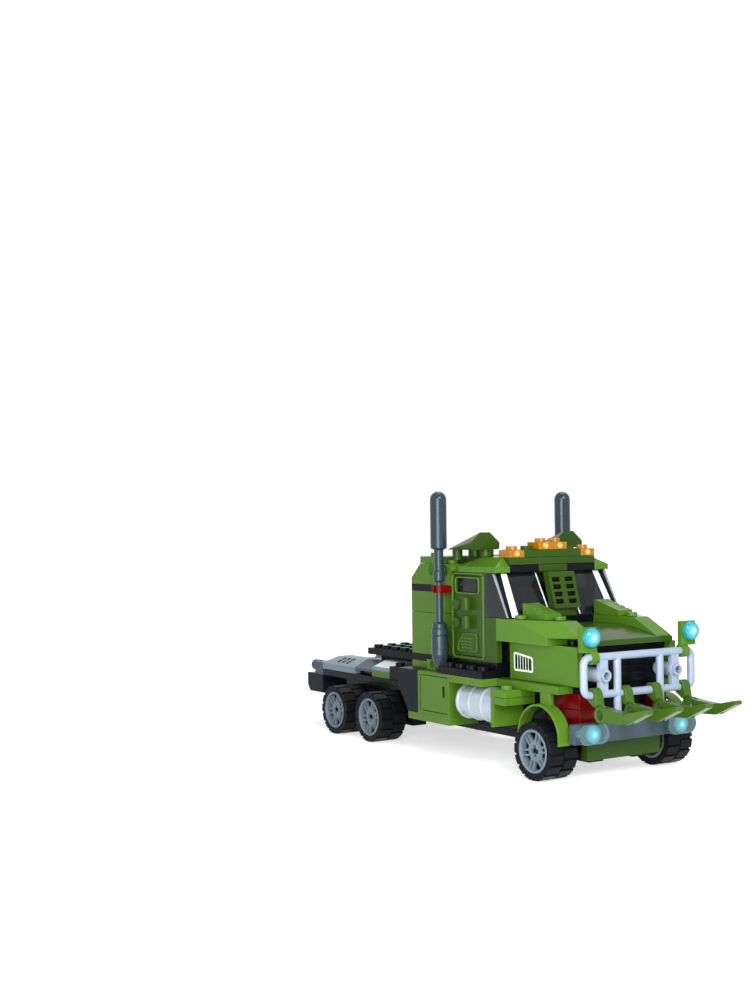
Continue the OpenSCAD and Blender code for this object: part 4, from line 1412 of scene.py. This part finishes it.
@dataclass
class SideBoxes:
    """Toolboxes with doors, steps, sill plates, barrels and their brackets."""

    box_y: float = px(5)
    grip_in: float = 2.7
    grip_up: float = 1.5
    grip_depths: Pair = (0.95, 0.3)

    def grip_shade(self, side: int) -> Shape:
        """Black block that paints the shade inside the grip slot in a toolbox door.

        Args:
            side: -1 on the right-hand side, 1 on the left.

        Returns:
            The black block behind the slot, which paints the shade inside it.
        """
        low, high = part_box("toolbox_door_r")
        x = high.x / MM - SHIFT - self.grip_in
        z = (low.z + high.z) / 2 / MM + self.grip_up
        near, far = sorted(side * (self.box_y - depth) for depth in self.grip_depths)
        return block((x - 1.5, x + 1.2, near, far, z - 3.2, z + 3.0))

    def build(self) -> None:
        """Builds the boxes along the truck's sides."""
        Moulding("toolboxes").build()
        for tag, side in (("r", -1), ("l", 1)):
            Moulding(f"toolbox_door_{tag}", edge=0.12).build([(self.grip_shade(side), BLACK_PRINT_AND_PAINTED_SHADE)])
        Moulding("side_steps", upright(-6)).build()
        upper = slab((px(-8), px(-3)), (lv(9), lv(10)))
        Moulding("sill_plates", upright(-6, -5, inside=upper)).build()
        Moulding("barrels", finish=BARREL, edge=0.1).build()
        front = slab((px(-3), px(-2)), (0.0, 100.0))
        Moulding("barrel_brackets", [*upright(-3), *level(8, inside=front)]).build()


@dataclass
class Cab:
    """Sleeper, doors with raised lines, screens, vent, visor, lamps and fairings."""

    side_y: float = px(4)
    frame_x: Pair = (px(-8), px(-5))
    frame_z: Pair = (lv(12), lv(24))
    line_in: float = 0.75
    line_w: float = 0.7
    line_h: float = 0.3
    line_corner: float = 2.0
    door_in: float = 1.5
    panel_in: float = 0.4
    panel_corner: float = 1.3
    waves: int = 4
    wave_gap: float = 1.35
    wave_rise: float = 0.3
    pane_foot: float = px(-3)
    pane_head: float = px(-4.3)
    sill_z: float = lv(18)
    top_z: float = lv(24)
    vent_foot: Pair = (-22.4, 67.4)
    vent_head_x: float = -26.8
    vent_first: float = 2.8
    vent_step: float = 3.15
    vent_slot: Point = (1.3, 4.5, 1.9)
    vent_y: float = 3.6
    # Size and places of the painted highlight domes on the roof lamps.
    glint_r: float = 1.58
    glint_depth: float = 0.6
    glint_places: tuple[Pair, ...] = ((-20.0, 26.5), (20.0, 26.5), (-4.0, 27.5), (4.0, 27.5))

    def frame_lines(self) -> list[Dressed]:
        """Raised outline round each door frame.

        Returns:
            The lines and their finishes.
        """
        x0, x1 = self.frame_x[0] + self.line_in, self.frame_x[1] - self.line_in
        z0, z1 = self.frame_z[0] + self.line_in, self.frame_z[1] - self.line_in
        outline = round_rect(x0, x1, z0, z1, self.line_corner)
        right = ridge(outline, self.line_w, -self.side_y, self.line_h, True)
        # The raised lines take the lighter green, which paints their highlight.
        return [(mirrored(right), GREEN), (right, GREEN)]

    def door_lines(self, side: int) -> list[Dressed]:
        """Raised frame of the window, its pane, outline of the lower panel and its waves.

        Args:
            side: -1 on the right-hand side, 1 on the left.

        Returns:
            The lines, the pane and their finishes.
        """
        x0, x1 = self.frame_x[0] + self.door_in, self.frame_x[1] - self.door_in
        face = -self.side_y
        sunk = face - self.panel_in
        low, high = self.frame_z[0] + self.door_in + 2.2, lv(15) + 1.8
        left, right, corner = x0 + 4.6, x1 - 4.9, self.panel_corner
        panel = [
            *arc((right, high - corner), corner, 0, 90),
            (x0 + 8.0, high), (left, high - 3.4),
            *arc((left, low + corner), corner, 180, 270),
            *arc((right, low + corner), corner, 270, 360),
        ]
        shapes = [ridge(panel, 0.55, sunk, 0.28, True)]
        for row in range(self.waves):
            z = low + 1.5 + row * self.wave_gap
            heights = [z + self.wave_rise * math.sin(1.1 * i + row) for i in range(17)]
            wave = [(x0 + 5.4 + 0.5 * i, height) for i, height in enumerate(heights)]
            shapes.append(ridge(wave, 0.45, sunk, 0.22, False))
        window = (x0 + 1.7, x1 - 2.4, lv(21) + 0.3, self.top_z - 2.5)
        shapes.append(ridge(round_rect(*window, 1.4), 0.8, face, 0.35, True))
        # The raised lines take the lighter green, which paints their highlight.
        dressed = [(shape, GREEN) for shape in shapes]
        glass = (x0 + 2.05, x1 - 2.75, lv(21) + 0.65, self.top_z - 2.85)
        pane = plate(round_rect(*glass, 0.3), face + 0.8, face + 1.2, Axis.Y)
        dressed.append((pane, PANE))
        return [(mirrored(shape) if side > 0 else shape, finish) for shape, finish in dressed]

    def on_pane(self, outline: Sequence[Pair], side: int) -> Shape:
        """A thin strip on a slanted screen's outer face.

        Args:
            outline: Its outline in |y| and z.
            side: -1 on the right-hand side, 1 on the left.

        Returns:
            The closed strip.
        """
        lean = (self.pane_foot - self.pane_head) / (self.top_z - self.sill_z)
        layers = []
        for lift in (-0.4, 0.14):
            foot = self.pane_foot + lift
            layers.append([(foot - lean * (z - self.sill_z), side * y, z) for y, z in outline])
        return patch(*layers)

    def painted_screen_reflections(self) -> None:
        """Painted reflections along the edges of each screen: a broad bright band, a dark one and
        two thin lines.
        """
        foot, head = self.sill_z + 0.5, self.top_z - 0.4
        reflection_bands = [  # finish, then reach in y at the foot and at the head
            (PAINTED_GLASS_HIGHLIGHT, (25.7, 29.2), (24.4, 27.5)),
            (BLACK_PRINT_AND_PAINTED_SHADE, (29.3, 31.2), (27.6, 30.5)),
            (PAINTED_DIM_REFLECTION, (31.2, 31.95), (30.5, 31.95)),
            (PAINTED_GLASS_HIGHLIGHT, (8.15, 8.7), (8.15, 8.7)),
        ]
        shapes = []
        for side in SIDES:
            for finish, low, high in reflection_bands:
                outline = [(low[0], foot), (low[1], foot), (high[1], head), (high[0], head)]
                shapes.append((self.on_pane(outline, side), finish))
        truck_piece("painted_screen_reflections", "clear_pane", shapes)

    def vent_slot_shade(self) -> None:
        """Black blocks that paint the shade inside the vent panel's slots."""
        foot_x, foot_z = self.vent_foot
        lean = (self.vent_head_x - foot_x) / (self.top_z - foot_z)
        first, step = self.vent_first, self.vent_step
        shapes = []
        for side in SIDES:
            shade_blocks = ROW.grow(
                BLACK_PRINT_AND_PAINTED_SHADE, 0.0, Count=4, Size=self.vent_slot, Step=(lean * step, 0.0, step),
                Start=(foot_x + lean * first - 1.5, side * self.vent_y, foot_z + first),
            )
            shapes.append((shade_blocks, BLACK_PRINT_AND_PAINTED_SHADE))
        truck_piece("vent_slot_painted_shade", "black_brick", shapes)

    def painted_lamp_glints(self) -> None:
        """Domes with a painted glow on the front faces of the roof lamps, which stand for their
        highlights.
        """
        places = [(px(-4) - 0.1, y, lv(plates)) for y, plates in self.glint_places]
        shapes = [(glint_dome(place, self.glint_r, self.glint_depth), ORANGE) for place in places]
        truck_piece("roof_lamp_painted_glints", "orange_lens", shapes)

    def build(self) -> None:
        """Builds the cab."""
        Moulding("cab_floor", [*level(11), *upright(-8)]).build()
        Moulding("sleeper_walls", level(18)).build()
        Moulding("sleeper_roof", [*level(25), *upright(-10)]).build()
        Moulding("red_bricks", level(7)).build()
        Moulding("door_frames", upright(-5), finish=DARK_GREEN).build(self.frame_lines())
        for tag, side in (("r", -1), ("l", 1)):
            door = Moulding(f"cab_door_{tag}", edge=0.12, finish=DARK_GREEN)
            door.build(self.door_lines(side))
        Moulding("seat", finish=BLACK).build()
        Moulding("windscreens", edge=0.2).build()
        Moulding("vent_panel", edge=0.12, finish=DARK_GREEN).build()
        band = slab((px(-6), px(-4)), (lv(25), lv(26)))
        middle = [Cut(Axis.Y, y, band) for y in (-PITCH, PITCH)]
        Moulding("visor", [*level(25, 26), *upright(-6), *middle], finish=DARK_GREEN).build()
        Moulding("trim_bricks").build()
        Moulding("roof_corners").build()
        Moulding("roof_lamps", edge=0.25).build()
        feet = slab((px(-9), px(-6)), (lv(25), lv(27)))
        Moulding("roof_fairings", level(27), [Paint(feet, DARK_GREEN)]).build()
        self.painted_screen_reflections()
        self.vent_slot_shade()
        self.painted_lamp_glints()


@dataclass
class Hood:
    """Core, side panels with louvre labels, wedges, hood top, cowl and fenders."""

    panel_y: float = px(3) + PLATE
    label_x: Pair = (-26.0, -13.3)
    label_z: Pair = (41.8, 49.7)
    label_drop: float = 1.2
    slots: int = 6

    def label_top(self, x: float) -> float:
        """Height of the label's upper edge, which falls towards the front."""
        x0, x1 = self.label_x
        return self.label_z[1] - self.label_drop * (x - x0) / (x1 - x0)

    def louvre_labels(self) -> None:
        """A printed vent on each side panel: white outline, dark slots and white bars."""
        x0, x1 = self.label_x
        z0, z1 = self.label_z
        top = self.label_top
        outer = [
            *arc((x1 - 1.2, top(x1) - 1.3), 1.1, 0, 90), *arc((x0 + 0.9, z1 - 0.9), 0.9, 90, 180),
            *arc((x0 + 0.9, z0 + 0.9), 0.9, 180, 270), *arc((x1 - 0.9, z0 + 0.9), 0.9, 270, 360),
        ]
        inner = [
            (x1 - 0.7, z0 + 1.0), (x1 - 1.0, z0 + 0.7), (x0 + 1.0, z0 + 0.7), (x0 + 0.7, z0 + 1.0),
            (x0 + 0.7, z1 - 1.0), (x0 + 1.0, z1 - 0.75), (x1 - 1.6, top(x1) - 0.8),
            (x1 - 0.7, top(x1) - 1.7),
        ]
        step = (x1 - x0 - 2.0) / self.slots
        shapes = []
        for side in SIDES:
            low, high = sorted((side * (self.panel_y - 0.05), side * (self.panel_y + 0.1)))
            shapes.append((plate(outer, low, high, Axis.Y, [inner]), LABEL_WHITE))
            for i in range(self.slots):
                a = x0 + 1.15 + i * step
                b = a + step * 0.62
                slot = [(a, z0 + 1.2), (b, z0 + 1.2), (b, top(b) - 1.25), (a, top(a) - 1.25)]
                shapes.append((plate(slot, low, high, Axis.Y), BLACK_PRINT_AND_PAINTED_SHADE))
                if i:
                    left, right, end = a - step * 0.3, a - step * 0.14, top(a) - 0.9
                    bar = [(left, z0 + 0.8), (right, z0 + 0.8), (right, end), (left, end)]
                    shapes.append((plate(bar, low, high, Axis.Y), LABEL_WHITE))
        truck_piece("louvre_labels", "pale_plastic", shapes)

    def build(self) -> None:
        """Builds the hood."""
        Moulding("hood_core", edge=0.1).build()
        Moulding("hood_sides", level(10)).build()
        Moulding("hood_wedges", level(18)).build()
        Moulding("hood_top", finish=DARK_GREEN).build()
        middle = (px(-5), px(-3), -15.0, 15.0, 50.0, 70.0)
        Moulding("cowl_slopes", paints=[Paint(middle, BLACK)]).build()
        Moulding("fenders", edge=0.2).build()
        self.louvre_labels()


@dataclass
class Front:
    """Bull bar, bumper, lamps and exhaust stacks."""

    bar_x: float = 21.0
    lens_r: float = 3.75
    lens_z: float = 58.8
    lens_y: float = 27.2
    clip_top: float = 54.4
    bumper_face: float = 18.0
    bumper_mid: float = 20.0
    round_r: float = 3.6
    round_depth: float = 2.75

    def clip_lamps(self) -> None:
        """Clip lamps: the CAD clip and bracket with a detailed lens in place of the plain one."""
        back = self.bar_x + 1.2
        plain = slab((back + 0.1, 60.0), (54.0, 80.0))
        above = slab((0.0, 60.0), (self.clip_top + 0.2, 80.0))
        cuts = [Cut(Axis.Z, self.clip_top, gap=0.0), Cut(Axis.X, back, above, gap=0.0)]
        for tag, side in (("r", -1), ("l", 1)):
            face = lens((back, side * self.lens_y, self.lens_z), self.lens_r, 3.0)
            lamp = Moulding(f"lamp_{tag}", cuts, [Paint(plain, None)], finish=GREEN, edge=0.14)
            # The lens takes a painted glow that stands for its highlight.
            lamp.build([(face, ICE_PAINTED_GLOW)])

    def bumper_lenses(self) -> None:
        """Round fronts on the oval bumper lamps."""
        places = [(self.bumper_face + 0.4, side * px(3), self.bumper_mid) for side in SIDES]
        # The lenses take a painted glow that stands for their highlights.
        shapes = [(lens(place, self.round_r, self.round_depth), ICE_PAINTED_GLOW) for place in places]
        truck_piece("bumper_lens_fronts", "ice_lens", shapes)

    def silencer_trim(self) -> list[Dressed]:
        """Full lower end of each stack's silencer, and a black ring that paints the shade in its
        groove.

        Returns:
            The ends and rings, and their finishes.
        """
        low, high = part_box("exhaust_stacks")
        x = (low.x + high.x) / 2 / MM - SHIFT
        radius = (high.x - low.x) / 2 / MM
        full, joint, bore = radius - 0.12, radius - 0.02, radius - 0.4
        end = [
            (0.0, 0.0), (0.0, 1.7), (0.8, 2.4), (3.6, radius - 0.6), (6.6, full), (7.4, full),
            (7.4, 0.0),
        ]
        ring = [(0.0, bore), (0.0, joint), (0.5, joint), (0.5, bore)]
        shapes = []
        for side in SIDES:
            y = side * (high.y / MM - radius)
            shapes.append((lathe(end, (x, y, lv(11) - 2.2), Axis.Z, 40), STEEL))
            # Black ring: painted shade in the silencer's groove.
            shapes.append((lathe(ring, (x, y, lv(13) + 0.9), Axis.Z, 40), BLACK))
        return shapes

    def build(self) -> None:
        """Builds the front and the stacks."""
        Moulding("bull_bar", edge=0.14).build()
        Moulding("bumper").build()
        Moulding("bumper_lamps", edge=0.25).build()
        self.bumper_lenses()
        self.clip_lamps()
        Moulding("exhaust_stacks", edge=0.12).build(self.silencer_trim())


@dataclass
class Claws:
    """Four fingers of three pieces each."""

    count: int = 4

    def build(self) -> None:
        """Builds the fingers."""
        for n in range(1, self.count + 1):
            for part in ("base", "link", "tip"):
                Moulding(f"finger_{part}_{n}", edge=0.2, finish=CLAW_GREEN).build()


# ---------- stage ----------


def for_camera(tree: Tree, unseen: Socket, seen: Socket) -> Socket:
    """Adds a shader that differs for what the camera sees, straight or by gloss or glass.

    Args:
        tree: Material or world tree.
        unseen: Shader that the light meets.
        seen: Shader that the camera sees.

    Returns:
        The shader's socket.
    """
    path = add_node(tree, "ShaderNodeLightPath").outputs
    straight = path["Is Camera Ray"]
    gloss = maths(tree, "MAXIMUM", straight, path["Is Glossy Ray"])
    mask = maths(tree, "MAXIMUM", gloss, path["Is Transmission Ray"])
    return add_node(tree, "ShaderNodeMixShader", {0: mask, 1: unseen, 2: seen}).outputs[0]


@dataclass
class Studio:
    """Floor, soft lamps, white backdrop and the camera.

    The lamps have a place in metres, a size in metres and a power in watts.
    """

    camera_at: Point = (442.434, -395.730, 106.085)
    azimuth: float = 57.417
    elevation: float = -0.842
    roll: float = -0.649
    lens: float = 50.197
    floor_size: float = 3.0
    lamps: dict[str, tuple[Point, float, float]] = field(default_factory=lambda: {
        "key": ((0.85, -0.20, 0.55), 0.45, 8.0),
        "side": ((0.25, -0.27, 0.10), 0.2, 1.05),
        "fill": ((-0.45, -0.95, 0.45), 0.8, 0.6),
        "top": ((-0.2, 0.3, 1.1), 0.7, 5.0),
    })

    def floor(self) -> None:
        """A pale floor that shows as white to the camera and keeps the shadow."""
        mesh = bpy.data.meshes.new("floor")
        shape = bmesh.new()
        bmesh.ops.create_grid(shape, x_segments=1, y_segments=1, size=self.floor_size)
        shape.to_mesh(mesh)
        shape.free()
        floor = put("floor", mesh)
        material = bpy.data.materials.new("floor_white")
        material.use_nodes = True
        tree = material.node_tree
        shader = tree.nodes["Principled BSDF"]
        fill(tree, shader, {"Base Color": (0.78, 0.78, 0.78, 1), "Roughness": 0.9})
        place = add_node(tree, "ShaderNodeTexCoord").outputs["Object"]
        away = add_node(tree, "ShaderNodeVectorMath", {0: place}, operation="LENGTH")
        spread = {"From Min": 0.2, "From Max": 0.9, "To Min": 0.62, "To Max": 1.0}
        spread["Value"] = away.outputs["Value"]
        fade = add_node(tree, "ShaderNodeMapRange", spread).outputs[0]
        glow = add_node(tree, "ShaderNodeEmission", {"Strength": fade})
        plain = shader.outputs[0]
        both = add_node(tree, "ShaderNodeAddShader", {0: plain, 1: glow.outputs[0]}).outputs[0]
        surface = {"Surface": for_camera(tree, plain, both)}
        fill(tree, tree.nodes["Material Output"], surface)
        mesh.materials.append(material)

    def world(self) -> None:
        """Even light all round, white where it is seen."""
        world = bpy.data.worlds.new("studio")
        bpy.context.scene.world = world
        world.use_nodes = True
        tree = world.node_tree
        lit = tree.nodes["Background"]
        fill(tree, lit, {"Color": (0.92, 0.96, 1.0, 1), "Strength": 0.18})
        white = add_node(tree, "ShaderNodeBackground", {"Color": (1, 1, 1, 1)})
        surface = {"Surface": for_camera(tree, lit.outputs[0], white.outputs[0])}
        fill(tree, tree.nodes["World Output"], surface)

    def lamp(self, name: str, at: Point, size: float, power: float) -> None:
        """A square soft lamp that points at the truck.

        Args:
            name: Name of the lamp.
            at: Its place in metres.
            size: Its width in metres.
            power: Its power in watts.
        """
        light = bpy.data.lights.new(name, "AREA")
        light.shape = "SQUARE"
        light.size = size
        light.energy = power
        holder = put(name, light)
        holder.location = at
        holder.visible_camera = False
        aim = Vector((0.0, 0.0, 0.05)) - Vector(at)
        holder.rotation_euler = aim.to_track_quat("-Z", "Y").to_euler()

    def camera(self) -> None:
        """The camera, to the right of the truck and ahead of it."""
        data = bpy.data.cameras.new("camera")
        data.lens = self.lens
        data.sensor_width = 36.0
        data.clip_start, data.clip_end = 0.01, 20.0
        camera = put("camera", data)
        az, el, roll = (math.radians(a) for a in (self.azimuth, self.elevation, self.roll))
        level_out = math.cos(el)
        back = Vector((math.sin(az) * level_out, -math.cos(az) * level_out, math.sin(el)))
        right = (-back).cross(Vector((0, 0, 1))).normalized()
        up = right.cross(-back)
        across = math.cos(roll) * right + math.sin(roll) * up
        upward = -math.sin(roll) * right + math.cos(roll) * up
        turn = Matrix((across, upward, back)).transposed()
        x, y, z = self.camera_at
        place = Matrix.Translation(Vector((x + SHIFT, y, z)) * MM)
        camera.matrix_world = place @ turn.to_4x4()
        bpy.context.scene.camera = camera

    def build(self) -> None:
        """Sets the stage."""
        self.floor()
        self.world()
        for name, (at, size, power) in self.lamps.items():
            self.lamp(name, at, size, power)
        self.camera()
        bpy.context.scene.view_settings.view_transform = "Standard"


def main() -> None:
    """Builds the truck's looks, sub-assembly by sub-assembly, and its stage."""
    logging.basicConfig(level=logging.INFO, format="%(name)s: %(message)s")
    slots = {part["node"]: part["material_slot"] for part in frame["record"]["subparts"]}
    for name, node in frame["nodes"].items():
        node.data.materials.clear()
        node.data.materials.append(SHELF.material(SLOT_FINISH[slots[name]]))
    assemblies = (Wheels, Chassis, RearDeck, SideBoxes, Cab, Hood, Front, Claws)
    for assembly in assemblies:
        LOG.info("building %s", assembly.__name__)
        assembly().build()
    Studio().build()
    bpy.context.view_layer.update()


if __name__ == "__main__":
    main()
